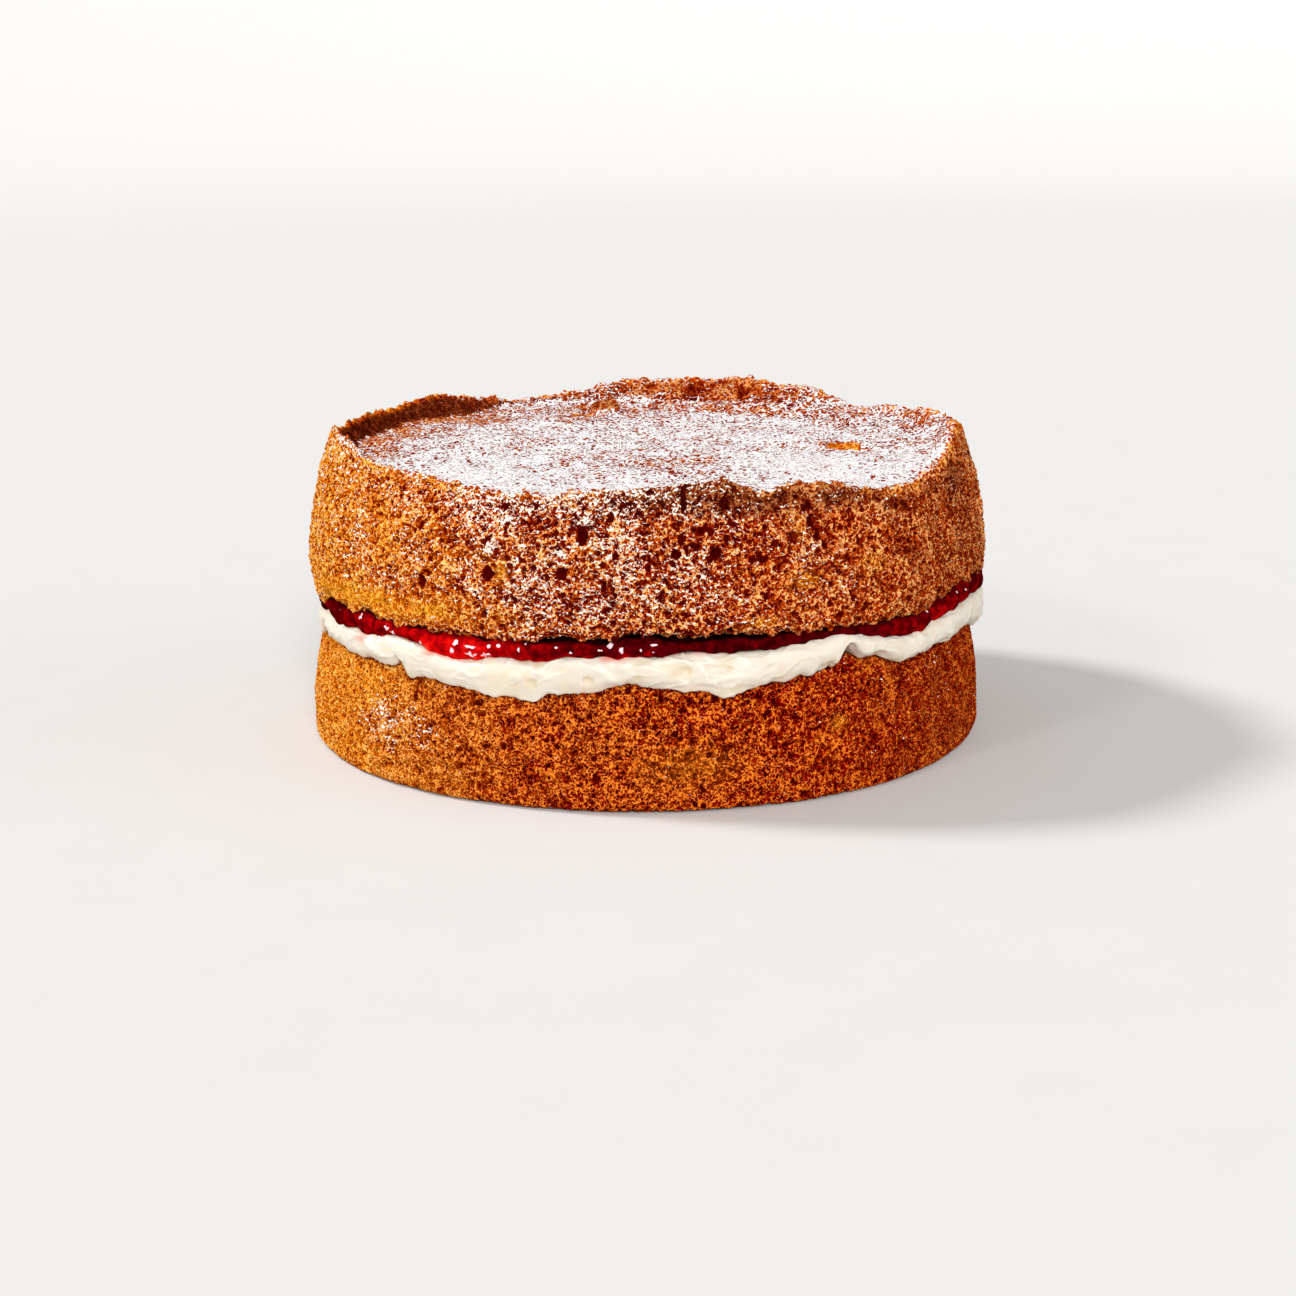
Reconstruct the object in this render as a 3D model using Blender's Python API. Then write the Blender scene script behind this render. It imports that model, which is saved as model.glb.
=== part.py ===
"""Victoria sponge cake: two round sponges with whipped cream and jam between them.

Each of the four layers is one closed solid that runs right through the cake. The cake stands on
the underside of its lower sponge, with the origin at the centre of that face and +Z up.

Every outline is a function of the azimuth, in degrees: 0 is the front of the cake, at -Y, and 90
is its right side, at +X. Unevenness is a sum of humps, each written as (azimuth of its middle,
rise in mm, half width in degrees). Lengths are in metres unless a name or a comment says mm.
"""

import math

import bmesh
import bpy
from mathutils import Matrix

MM = 0.001

# Driving dimensions: a cake baked in two round tins 20 cm across.
SPONGE_RADIUS = 100.5 * MM
LOWER_HEIGHT = 37.0 * MM
CREAM_TOP = 42.4 * MM
UPPER_BOTTOM = 46.2 * MM
CRUST_LEVEL = 83.2 * MM
RIM_LEVEL = 87.0 * MM

# How the baked sides run: widest low down, then leaning in more and more towards the top.
SIDE_LEAN = 0.0275 * MM
LEAN_POWER = 1.6
LOWER_WIDEST = 11.0 * MM
UPPER_WIDEST = 56.0 * MM
UPPER_TUCK = 0.8 * MM
FOOT_ROUNDING = 2.0 * MM
SHOULDER_ROUNDING = 5.0 * MM
CUT_EDGE_ROUNDING = 2.0 * MM

# How far across and up a rounding of size 1 its middle point lies, from where it starts.
ROUNDING_MIDDLE = (0.7, 0.3)
SHOULDER_ANGLES = (0, 45, 90)

# Levels of the sides' rings, as shares of the height between the roundings.
LOWER_WALL_SHARES = (0.3, 0.6, 0.85)
UPPER_WALL_SHARES = (0.06, 0.22, 0.4, 0.58, 0.78, 1.0)

# The crust sinks inside a standing rim, and rises a little towards one side.
CRUST_RISE = 1.0 * MM
CRUST_RISE_AZIMUTH = 160
RIM_THICKNESS = 2.6 * MM
RIM_ROUNDING = 2.2 * MM
RIM_SHOULDER_DROP = 0.6 * MM
RIM_SLOPE_WIDTH = 6.5 * MM
RIM_STEEPNESS = 1.5

# Rings of the crust: how far each lies inside the rim's crest, in mm.
CRUST_RINGS = (1.6, 3.6, 6.5, 12.0, 24.0, 44.0, 70.0)

# The filling, where it shows at the side.
CREAM_REACH = 0.6 * MM
CREAM_LIP = 33.8 * MM
CREAM_EDGE = 42.4 * MM
CREAM_LIP_THICKNESS = 2.2 * MM
CREAM_SHELF = 2.4 * MM
CREAM_TIP = 0.3 * MM
CREAM_UNDERCUT = 0.5 * MM
LIP_MARGIN = 1.0 * MM
JAM_INSET = 1.2 * MM
JAM_OVERHANG = 0.6 * MM
JAM_UNEVENNESS = 0.5

# The bulging faces of the filling: how far in each point lies, in mm, and its share of the height.
CREAM_FACE = ((0.3, 0.28), (0.0, 0.6), (0.7, 0.86))
JAM_FACE = ((0.5, 0.1), (0.0, 0.45), (0.3, 0.8))

# Inside these radii the hidden faces between the layers are flat.
FLAT_CREAM_RADIUS = 86.0 * MM
FLAT_CUT_RADIUS = 88.0 * MM

# Neighbouring layers keep this far apart.
CLEARANCE = 0.3 * MM
SEGMENTS = 112

# Plain finishes: colour and roughness.
SPONGE_FINISH = ((0.50, 0.20, 0.05), 0.85)
CREAM_FINISH = ((0.90, 0.84, 0.66), 0.45)
JAM_FINISH = ((0.42, 0.01, 0.015), 0.12)

SPONGE_HUMPS = (
    (-20, -0.4, 20),
    (35, 0.5, 25),
    (125, -0.6, 25),
    (170, 0.5, 25),
    (-140, -0.3, 20),
)
LOWER_SIDE_HUMPS = (
    (-55, 0.5, 30),
    (75, -0.9, 30),
    (160, -0.5, 30),
)
LOWER_TOP_HUMPS = (
    (33, 2.0, 5),
    (-80, -1.0, 15),
    (120, 0.8, 10),
    (-150, 0.7, 12),
)
CUT_HUMPS = (
    (-80, -5.5, 9),
    (-28, -0.8, 12),
    (-1, 1.3, 4),
    (67, 3.8, 12),
    (105, -1.2, 10),
    (150, 1.6, 14),
    (-165, -1.0, 12),
    (-120, 1.8, 14),
)
RIM_HUMPS = (
    (-74, 5.4, 17),
    (-64, 1.2, 4),
    (-108, 2.0, 14),
    (-133, 4.2, 12),
    (-152, -1.0, 9),
    (180, 4.4, 12),
    (170, 1.2, 4),
    (159, 6.0, 8),
    (145, 3.2, 6),
    (131, -2.8, 5),
    (104, 1.8, 15),
    (76, 4.4, 9),
    (45, -5.9, 16),
    (19, -2.4, 4),
    (11.5, 1.6, 5),
    (-18, -3.4, 11),
)
RIM_SLOPE_HUMPS = (
    (152, 9.0, 22),
    (95, 6.0, 20),
    (45, 10.0, 20),
    (-20, 3.0, 20),
    (180, 4.0, 15),
)
CREAM_REACH_HUMPS = ((-83, -1.7, 18), (82, 0.5, 15))
CREAM_LIP_HUMPS = (
    (-81, -1.5, 8),
    (-40, -1.0, 3),
    (-24, -3.4, 11),
    (-3, 2.2, 4),
    (12, -2.9, 5),
    (33, 5.2, 5),
    (58, 2.2, 3),
    (66, 2.0, 5),
    (81, -3.4, 7),
    (100, 1.0, 7),
    (121, 3.4, 6),
    (140, -3.0, 9),
    (160, 1.6, 6),
    (178, -3.6, 8),
    (-163, 1.8, 6),
    (-143, -3.2, 9),
    (-118, 2.6, 8),
    (-100, -2.4, 7),
)
CREAM_EDGE_HUMPS = (
    (-80, -3.9, 7),
    (-61, -2.2, 8),
    (-49, -1.8, 3),
    (-31, -3.4, 7),
    (-19, -1.9, 5),
    (8, 1.2, 4),
    (25, 1.3, 4),
    (32, 2.3, 4),
    (46, -2.3, 5),
    (67, 1.2, 6),
    (105, -2.6, 8),
    (127, -0.8, 7),
    (150, 1.6, 12),
    (-170, -2.6, 9),
    (-128, 1.6, 10),
    (-106, -1.2, 6),
)
JAM_HUMPS = (
    (-61, 0.8, 5),
    (-33, 1.2, 9),
    (-12, 0.4, 6),
    (4, 0.4, 6),
    (24, -1.2, 8),
    (46, 1.4, 5),
    (66, 0.8, 9),
    (95, -0.6, 9),
    (118, 1.0, 10),
    (150, -0.8, 9),
    (-172, 1.2, 9),
    (-140, -0.6, 9),
    (-108, 1.0, 9),
)


def humps(azimuth, table):
    """The sum of the humps of a table at an azimuth, in metres."""
    total = 0.0
    for middle, rise, half_width in table:
        away = (azimuth - middle + 180.0) % 360.0 - 180.0
        total += rise * math.exp(-((away / half_width) ** 2))
    return total * MM


def smooth_step(share):
    """0 below 0 and 1 above 1, with an S-shaped rise between them."""
    share = min(max(share, 0.0), 1.0)
    return share * share * (3.0 - 2.0 * share)


def lean(height, widest):
    """How far a baked side has leaned in at a height above its widest level."""
    return SIDE_LEAN * (max(height - widest, 0.0) / MM) ** LEAN_POWER


def lower_radius(azimuth, height):
    """Radius of the lower sponge's side."""
    uneven = humps(azimuth, SPONGE_HUMPS) + humps(azimuth, LOWER_SIDE_HUMPS)
    return SPONGE_RADIUS + uneven - lean(height, LOWER_WIDEST)


def upper_radius(azimuth, height):
    """Radius of the upper sponge's side, which also tucks in a little towards its cut edge."""
    below = max(UPPER_WIDEST - height, 0.0) / (UPPER_WIDEST - UPPER_BOTTOM)
    tuck = UPPER_TUCK * below * below
    return SPONGE_RADIUS + humps(azimuth, SPONGE_HUMPS) - lean(height, UPPER_WIDEST) - tuck


def lower_shoulder(azimuth, angle, clear=0.0):
    """A point on the lower sponge's rounded top edge, at an angle up from level."""
    top = LOWER_HEIGHT + humps(azimuth, LOWER_TOP_HUMPS)
    centre_height = top - SHOULDER_ROUNDING
    centre_radius = lower_radius(azimuth, centre_height) - SHOULDER_ROUNDING
    reach = SHOULDER_ROUNDING + clear
    turn = math.radians(angle)
    return centre_radius + reach * math.cos(turn), centre_height + reach * math.sin(turn)


def lower_profile(azimuth):
    """The lower sponge: flat underside, small foot rounding, leaning side, rounded shoulder."""
    side = lower_radius(azimuth, FOOT_ROUNDING)
    out, up = ROUNDING_MIDDLE
    foot = [
        (side - FOOT_ROUNDING, 0.0),
        (side - (1.0 - out) * FOOT_ROUNDING, up * FOOT_ROUNDING),
        (side, FOOT_ROUNDING),
    ]
    shoulder = [lower_shoulder(azimuth, angle) for angle in SHOULDER_ANGLES]
    rise = shoulder[0][1] - FOOT_ROUNDING
    heights = [FOOT_ROUNDING + rise * share for share in LOWER_WALL_SHARES]
    wall = [(lower_radius(azimuth, height), height) for height in heights]
    middle = [(FLAT_CREAM_RADIUS, LOWER_HEIGHT), (0.0, LOWER_HEIGHT)]
    return [(0.0, 0.0)] + foot + wall + shoulder + middle


def cream_outer_radius(azimuth):
    """How far out the cream bulges, a little past the sponges."""
    reach = CREAM_REACH + humps(azimuth, CREAM_REACH_HUMPS)
    return upper_radius(azimuth, UPPER_BOTTOM) + reach


def cream_edge(azimuth):
    """The height at which the cream's outer face turns over under the jam."""
    return CREAM_EDGE + humps(azimuth, CREAM_EDGE_HUMPS)


def cream_profile(azimuth):
    """The cream: it lies on the lower sponge and hangs over its shoulder as a wavy lip."""
    lip = CREAM_LIP + humps(azimuth, CREAM_LIP_HUMPS)
    edge = cream_edge(azimuth)
    outer = cream_outer_radius(azimuth)
    level = LOWER_HEIGHT + CLEARANCE
    centre_height = lower_shoulder(azimuth, 0)[1]
    reach = SHOULDER_ROUNDING + CLEARANCE
    sine = (lip + LIP_MARGIN - centre_height) / reach
    lowest = math.degrees(math.asin(min(max(sine, 0.0), 1.0)))
    under = [(0.0, level), (FLAT_CREAM_RADIUS, level)]
    for angle in (90.0, 0.5 * (90.0 + lowest), lowest):
        under.append(lower_shoulder(azimuth, angle, CLEARANCE))
    inner_height = min(lip + CREAM_UNDERCUT, under[-1][1])
    inner_radius = max(lower_radius(azimuth, inner_height) + CLEARANCE, under[-1][0])
    tip = [
        (inner_radius + CREAM_TIP, inner_height - CREAM_TIP),
        (inner_radius + ROUNDING_MIDDLE[0] * CREAM_LIP_THICKNESS, lip),
    ]
    depth = edge - lip
    face = [(outer - inset * MM, lip + share * depth) for inset, share in CREAM_FACE]
    face.append((outer - CREAM_SHELF, edge))
    top = [(FLAT_CREAM_RADIUS, CREAM_TOP), (0.0, CREAM_TOP)]
    return under + tip + face + top


def cut_height(azimuth):
    """Height of the upper sponge's bottom edge."""
    return UPPER_BOTTOM + humps(azimuth, CUT_HUMPS)


def cut_corner(azimuth):
    """The point where the upper sponge's underside starts to round up into its side."""
    cut = cut_height(azimuth)
    return upper_radius(azimuth, cut) - CUT_EDGE_ROUNDING, cut


def jam_profile(azimuth):
    """The jam: it fills the space between the cream and the upper sponge and swells at the side."""
    low = cream_edge(azimuth) + CLEARANCE
    corner_radius, cut = cut_corner(azimuth)
    high = cut - CLEARANCE
    shelf = cream_outer_radius(azimuth) - CREAM_SHELF
    outer = cream_outer_radius(azimuth) - JAM_INSET + humps(azimuth, JAM_HUMPS) * JAM_UNEVENNESS
    outer = max(outer, corner_radius + JAM_OVERHANG)
    under = [
        (0.0, CREAM_TOP + CLEARANCE),
        (FLAT_CREAM_RADIUS, CREAM_TOP + CLEARANCE),
        (shelf, low),
    ]
    face = [(outer - inset * MM, low + share * (high - low)) for inset, share in JAM_FACE]
    top = [
        (corner_radius, high),
        (FLAT_CUT_RADIUS, UPPER_BOTTOM - CLEARANCE),
        (0.0, UPPER_BOTTOM - CLEARANCE),
    ]
    return under + face + top


def crust_height(azimuth, radius, rim, crest):
    """Height of the top crust: a nearly level middle that climbs to the rim."""
    width = RIM_SLOPE_WIDTH + humps(azimuth, RIM_SLOPE_HUMPS)
    towards = math.cos(math.radians(azimuth - CRUST_RISE_AZIMUTH))
    middle = CRUST_LEVEL + CRUST_RISE * towards * radius / crest
    climb = smooth_step((radius - crest + width) / width) ** RIM_STEEPNESS
    return middle + (rim - middle) * climb


def upper_profile(azimuth):
    """The upper sponge: cut underside, leaning side, and a rim around the sunken crust."""
    corner_radius, cut = cut_corner(azimuth)
    rim = RIM_LEVEL + humps(azimuth, RIM_HUMPS)
    out, up = ROUNDING_MIDDLE
    under = [
        (0.0, UPPER_BOTTOM),
        (FLAT_CUT_RADIUS, UPPER_BOTTOM),
        (corner_radius, cut),
        (corner_radius + out * CUT_EDGE_ROUNDING, cut + up * CUT_EDGE_ROUNDING),
    ]
    wall_top = rim - RIM_ROUNDING
    wall = []
    for share in UPPER_WALL_SHARES:
        height = cut + (wall_top - cut) * share
        wall.append((upper_radius(azimuth, height), height))
    outside = wall[-1][0]
    crest = outside - 0.5 * RIM_THICKNESS
    rim_top = [(outside - 0.25 * RIM_THICKNESS, rim - RIM_SHOULDER_DROP), (crest, rim)]
    inside = [crest - step * MM for step in CRUST_RINGS]
    crust = [(radius, crust_height(azimuth, radius, rim, crest)) for radius in inside]
    return under + wall + rim_top + crust + [(0.0, CRUST_LEVEL)]


def sweep(name, profile):
    """A closed solid: the profile's outline at every azimuth, joined round the cake's axis."""
    bm = bmesh.new()
    step = 360.0 / SEGMENTS
    outlines = [profile(number * step) for number in range(SEGMENTS)]
    bottom = bm.verts.new((0.0, 0.0, outlines[0][0][1]))
    top = bm.verts.new((0.0, 0.0, outlines[0][-1][1]))
    columns = []
    for number, outline in enumerate(outlines):
        turn = math.radians(number * step)
        column = [
            bm.verts.new((radius * math.sin(turn), -radius * math.cos(turn), height))
            for radius, height in outline[1:-1]
        ]
        columns.append(column)
    for near, far in zip(columns, columns[1:] + columns[:1]):
        bm.faces.new((bottom, far[0], near[0]))
        bm.faces.new((top, near[-1], far[-1]))
        for row in range(len(near) - 1):
            bm.faces.new((near[row], far[row], far[row + 1], near[row + 1]))
    bmesh.ops.triangulate(bm, faces=bm.faces[:])
    mesh = bpy.data.meshes.new(name)
    bm.to_mesh(mesh)
    bm.free()
    mesh.shade_smooth()
    return mesh


def plain_material(name, colour, roughness):
    """A plain Principled material."""
    material = bpy.data.materials.new(name)
    material.use_nodes = True
    shader = material.node_tree.nodes["Principled BSDF"]
    shader.inputs["Base Color"].default_value = (*colour, 1.0)
    shader.inputs["Roughness"].default_value = roughness
    shader.inputs["Metallic"].default_value = 0.0
    return material


def add_layer(name, profile, finish):
    """One layer of the cake as its own object."""
    mesh = sweep(name, profile)
    mesh.materials.append(plain_material(name, *finish))
    layer = bpy.data.objects.new(name, mesh)
    bpy.context.scene.collection.objects.link(layer)
    return layer


def centre_over_origin(layers):
    """Moves the layers sideways so that the middle of their common box is over the origin."""
    corners = [vertex.co for layer in layers for vertex in layer.data.vertices]
    middle_x = (min(c.x for c in corners) + max(c.x for c in corners)) / 2
    middle_y = (min(c.y for c in corners) + max(c.y for c in corners)) / 2
    for layer in layers:
        layer.data.transform(Matrix.Translation((-middle_x, -middle_y, 0.0)))


def main():
    """Clears the scene and builds the four layers, from the bottom up."""
    for obj in list(bpy.data.objects):
        bpy.data.objects.remove(obj)
    layers = [
        add_layer("lower_sponge", lower_profile, SPONGE_FINISH),
        add_layer("cream", cream_profile, CREAM_FINISH),
        add_layer("jam", jam_profile, JAM_FINISH),
        add_layer("upper_sponge", upper_profile, SPONGE_FINISH),
    ]
    centre_over_origin(layers)


main()
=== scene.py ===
"""The looks of a victoria sponge cake: crumb, crust, sugar, cream and jam round the CAD model.

Each layer's outline is read from its CAD solid at many azimuths and rebuilt as a fine grid of
rings, and the relief of the real food is then pushed into that grid: bubbles of the crumb, waves
of the cream, lumps of the jam.

Azimuths are in degrees, 0 at the front (-Y) and 90 on the right (+X). Lengths are in metres, or
in mm where it says so. In the tables of humps, a line holds an azimuth, the amount there and a
half width in degrees. In the tables of spots and pits, it holds a place on the side, as azimuth
and height, then the half width and half height of what is there, and how deep, high or strong
it is. Those heights, half sizes and depths are in mm.
"""

import itertools
import math

import bmesh
import bpy
import numpy as np
from mathutils import Euler, Matrix


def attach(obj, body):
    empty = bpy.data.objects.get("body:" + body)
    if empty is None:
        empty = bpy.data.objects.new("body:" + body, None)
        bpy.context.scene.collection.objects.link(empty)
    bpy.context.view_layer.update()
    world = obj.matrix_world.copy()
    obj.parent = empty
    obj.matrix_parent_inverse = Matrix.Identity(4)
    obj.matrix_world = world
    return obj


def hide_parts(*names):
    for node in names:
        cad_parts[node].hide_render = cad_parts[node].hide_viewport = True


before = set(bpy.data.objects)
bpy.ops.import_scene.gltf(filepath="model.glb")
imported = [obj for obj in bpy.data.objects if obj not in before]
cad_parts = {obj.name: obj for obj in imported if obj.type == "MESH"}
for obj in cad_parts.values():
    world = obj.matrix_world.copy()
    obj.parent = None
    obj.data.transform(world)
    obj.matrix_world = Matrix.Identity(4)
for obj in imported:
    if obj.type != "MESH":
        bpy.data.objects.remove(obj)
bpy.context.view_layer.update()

MM = 0.001
# Azimuths at which a solid is sliced, and points round each ring of the fine grids.
SLICES = 256
RINGS_ROUND = 1024


# ---- Repeatable noise ----

# Brings the noise up to about -1 to 1.
NOISE_GAIN = 1.7


def cell_hash(cells, seed):
    """A repeatable 32-bit scramble of the whole-numbered cells of a lattice."""
    x, y, z = (cells[..., axis].astype(np.uint32) for axis in range(3))
    mixed = x * np.uint32(0x8DA6B343) ^ y * np.uint32(0xD8163841) ^ z * np.uint32(0xCB1AB31F)
    mixed = mixed ^ np.uint32((seed * 0x9E3779B1) & 0xFFFFFFFF)
    for shift, factor in ((15, 0x2C1B3C6D), (12, 0x297A2D39)):
        mixed = (mixed ^ (mixed >> np.uint32(shift))) * np.uint32(factor)
    return mixed ^ (mixed >> np.uint32(15))


def hash_vector(mixed):
    """Three numbers from 0 to 1 out of each hash."""
    parts = [(mixed >> np.uint32(shift)) & np.uint32(1023) for shift in (0, 10, 20)]
    return np.stack(parts, -1) / 1023.0


def noise(points, size, seed):
    """Smooth noise, about -1 to 1, whose features are about as large as size."""
    scaled = points / size
    base = np.floor(scaled).astype(np.int64)
    share = scaled - base
    fade = share**3 * (share * (share * 6.0 - 15.0) + 10.0)
    total = np.zeros(points.shape[:-1])
    for corner in itertools.product((0, 1), repeat=3):
        gradient = hash_vector(cell_hash(base + corner, seed)) * 2.0 - 1.0
        slope = (gradient * (share - corner)).sum(-1)
        total += slope * np.prod(np.where(corner, fade, 1.0 - fade), -1)
    return total * NOISE_GAIN


def warped(points, size, reach, seed):
    """Points pushed about by noise, so that round shapes made from them come out ragged."""
    push = [noise(points, size, seed + axis) for axis in range(3)]
    return points + reach * np.stack(push, -1)


def bubbles(points, size, smallest, largest, seed):
    """How deep the round bubbles of a foam reach in at points. Radii are shares of the spacing."""
    scaled = points / size
    base = np.floor(scaled).astype(np.int64)
    deepest = np.zeros(points.shape[:-1])
    for offset in itertools.product((-1, 0, 1), repeat=3):
        cell = base + offset
        mixed = cell_hash(cell, seed)
        centre = cell + hash_vector(mixed)
        radius = smallest + (largest - smallest) * hash_vector(cell_hash(cell, seed + 1))[..., 0]
        away = ((scaled - centre) ** 2).sum(-1)
        deepest = np.maximum(deepest, radius**2 - away)
    return np.sqrt(deepest) * size


def bell(value, middle, half_width):
    """A bell curve, 1 at its middle."""
    return np.exp(-(((value - middle) / half_width) ** 2))


def smooth_step(low, high, value):
    """0 below low and 1 above high, with an S-shaped rise between them."""
    share = np.clip((value - low) / (high - low), 0.0, 1.0)
    return share * share * (3.0 - 2.0 * share)


# ---- Outlines read from the CAD solids ----

# Keeps the slices off the solids' own corners, in shares of a slice.
SLICE_SHIFT = 0.013
# How many times the rings are evened out.
SMOOTHINGS = 6


def welded(node):
    """A CAD node's points and triangles, with points at the same place made one."""
    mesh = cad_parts[node].data
    mesh.calc_loop_triangles()
    points = np.array([v.co for v in mesh.vertices])
    faces = np.array([t.vertices for t in mesh.loop_triangles])
    _, first, same = np.unique(np.round(points, 7), axis=0, return_index=True, return_inverse=True)
    faces = same.ravel()[faces]
    whole = (faces != np.roll(faces, 1, 1)).all(1)
    return points[first], faces[whole]


def slice_outline(points, faces, azimuth):
    """The (radius, height) outline that a half-plane from the axis cuts out of a closed mesh."""
    turn = math.radians(azimuth)
    outward = points[:, 0] * math.sin(turn) - points[:, 1] * math.cos(turn)
    across = points[:, 0] * math.cos(turn) + points[:, 1] * math.sin(turn)
    before = across < 0.0
    cut = faces[before[faces].any(1) & ~before[faces].all(1)]
    links = {}
    place = {}
    for face in cut.tolist():
        ends = []
        for a, b in ((face[0], face[1]), (face[1], face[2]), (face[2], face[0])):
            if before[a] != before[b]:
                key = (min(a, b), max(a, b))
                ends.append(key)
                if key not in place:
                    share = across[a] / (across[a] - across[b])
                    radius = outward[a] + share * (outward[b] - outward[a])
                    place[key] = (radius, points[a, 2] + share * (points[b, 2] - points[a, 2]))
        links.setdefault(ends[0], []).append(ends[1])
        links.setdefault(ends[1], []).append(ends[0])
    start = max(place, key=lambda key: place[key][0])
    halves = []
    for step in links[start]:
        behind, here, run = start, step, [place[start]]
        while place[here][0] > 0.0:
            run.append(place[here])
            onward = [key for key in links[here] if key != behind]
            behind, here = here, onward[0]
        last, beyond = np.array(run[-1]), np.array(place[here])
        run.append(tuple(last + (beyond - last) * last[0] / (last[0] - beyond[0])))
        halves.append(run)
    lower, upper = sorted(halves, key=lambda run: run[-1][1])
    return np.array(lower[::-1] + upper[1:])


def along(outline):
    """Distance along an outline at each of its points."""
    return np.concatenate([[0.0], np.cumsum(np.hypot(*np.diff(outline, axis=0).T))])


def at_distance(outline, distances):
    """Points of an outline at given distances along it."""
    length = along(outline)
    return np.stack([np.interp(distances, length, outline[:, axis]) for axis in (0, 1)], -1)


def corner_distance(outline, direction):
    """How far along an outline the point lies that is furthest in a (radius, height) direction."""
    fine = np.arange(0.0, along(outline)[-1], 0.1 * MM)
    return fine[np.argmax(at_distance(outline, fine) @ np.array(direction))]


def round_smooth(rings, times):
    """Evens out small steps from ring point to ring point, round the cake and along the outline."""
    for _ in range(times):
        rings = 0.25 * np.roll(rings, 1, 0) + 0.5 * rings + 0.25 * np.roll(rings, -1, 0)
        inner = 0.25 * rings[:, :-2] + 0.5 * rings[:, 1:-1] + 0.25 * rings[:, 2:]
        rings = np.concatenate([rings[:, :1], inner, rings[:, -1:]], 1)
    return rings


def turned_round(radius, height, count):
    """A grid of points, [azimuth, row], at given radii and heights round the axis."""
    turn = np.arange(count)[:, None] * 2.0 * math.pi / count
    return np.stack([radius * np.sin(turn), -radius * np.cos(turn), height + 0.0 * turn], -1)


def read_rings(node, distances_for):
    """A grid of points over a CAD layer, [azimuth, row], at the rows that distances_for chooses."""
    points, faces = welded(node)
    rows = []
    for number in range(SLICES):
        outline = slice_outline(points, faces, (number + SLICE_SHIFT) * 360.0 / SLICES)
        rows.append(at_distance(outline, distances_for(outline)))
    coarse = np.array(rows)
    finer = RINGS_ROUND // SLICES
    shares = (np.arange(finer) / finer)[None, :, None, None]
    following = np.roll(coarse, -1, 0)
    rings = coarse[:, None] * (1.0 - shares) + following[:, None] * shares
    rings = round_smooth(rings.reshape(RINGS_ROUND, -1, 2), SMOOTHINGS)
    return turned_round(rings[..., 0], rings[..., 1], RINGS_ROUND)


def ring_normals(grid):
    """Outward unit normals of a grid of rings whose rows run up the outside."""
    round_way = np.roll(grid, -1, 0) - np.roll(grid, 1, 0)
    up_way = np.gradient(grid, axis=1)
    normal = np.cross(round_way, up_way)
    return normal / np.maximum(np.linalg.norm(normal, axis=-1, keepdims=True), 1e-12)


class Places:
    """Where points are: azimuth in degrees, and x, y, height and distance from the axis in mm."""

    def __init__(self, points):
        self.points = points
        self.azimuth = np.degrees(np.arctan2(points[..., 0], -points[..., 1]))
        self.x, self.y, self.height = (points[..., axis] / MM for axis in range(3))
        self.radius = np.hypot(self.x, self.y)

    def turned(self, middle):
        """Degrees from an azimuth to each point, -180 to 180."""
        return (self.azimuth - middle + 180.0) % 360.0 - 180.0

    def hump(self, middle, half_width):
        """A rounded hump of height 1 round an azimuth."""
        return bell(self.turned(middle), 0.0, half_width)

    def humps(self, table):
        """A sum of humps round the cake: azimuth, amount and half width in degrees of each."""
        return sum(amount * self.hump(middle, half_width) for middle, amount, half_width in table)

    def off_spot(self, azimuth, height, half_width, half_height):
        """How far off a place on the side each point is, squared, in shares of half sizes in mm."""
        across = np.radians(self.turned(azimuth)) * self.radius / half_width
        return across**2 + ((self.height - height) / half_height) ** 2

    def spot(self, *place):
        """A rounded spot of strength 1 on the side: azimuth, height, half width and half height."""
        return np.exp(-self.off_spot(*place))

    def spots(self, table):
        """A sum of spots: the place and size of each in mm, as for spot, and its strength."""
        return sum(strength * self.spot(*place) for *place, strength in table)

    def pits(self, table):
        """Depth in mm of single pits: azimuth, height, half width, half height and depth in mm."""
        deepest = np.zeros(self.x.shape)
        for *place, depth in table:
            inside = np.maximum(0.0, 1.0 - self.off_spot(*place))
            deepest = np.maximum(deepest, depth * np.sqrt(inside))
        return deepest

    def noise(self, size, seed):
        """Smooth noise, about -1 to 1, with features about as large as size in mm."""
        return noise(self.points, size * MM, seed)

    def noises(self, *table):
        """A sum of noises: amount, size in mm and seed of each."""
        return sum(amount * self.noise(size, seed) for amount, size, seed in table)

    def fractal(self, size, octaves, seed, gain=0.5):
        """Noise with finer and weaker noise added to it."""
        steps = range(octaves)
        return self.noises(*((gain**step, size * 0.5**step, seed + step) for step in steps))


# ---- Meshes from rings ----


def placed(name, data):
    """A new object in the scene."""
    thing = bpy.data.objects.new(name, data)
    bpy.context.scene.collection.objects.link(thing)
    return thing


def store_values(mesh, values):
    """Gives a mesh named values, one of each for every point."""
    for name, numbers in values.items():
        attribute = mesh.attributes.new(name, "FLOAT", "POINT")
        attribute.data.foreach_set("value", numbers.astype(np.float32))


def sampled(values, row, stride):
    """Every stride-th value of one row of a grid."""
    return {name: value[::stride, row] for name, value in values.items()}


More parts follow.
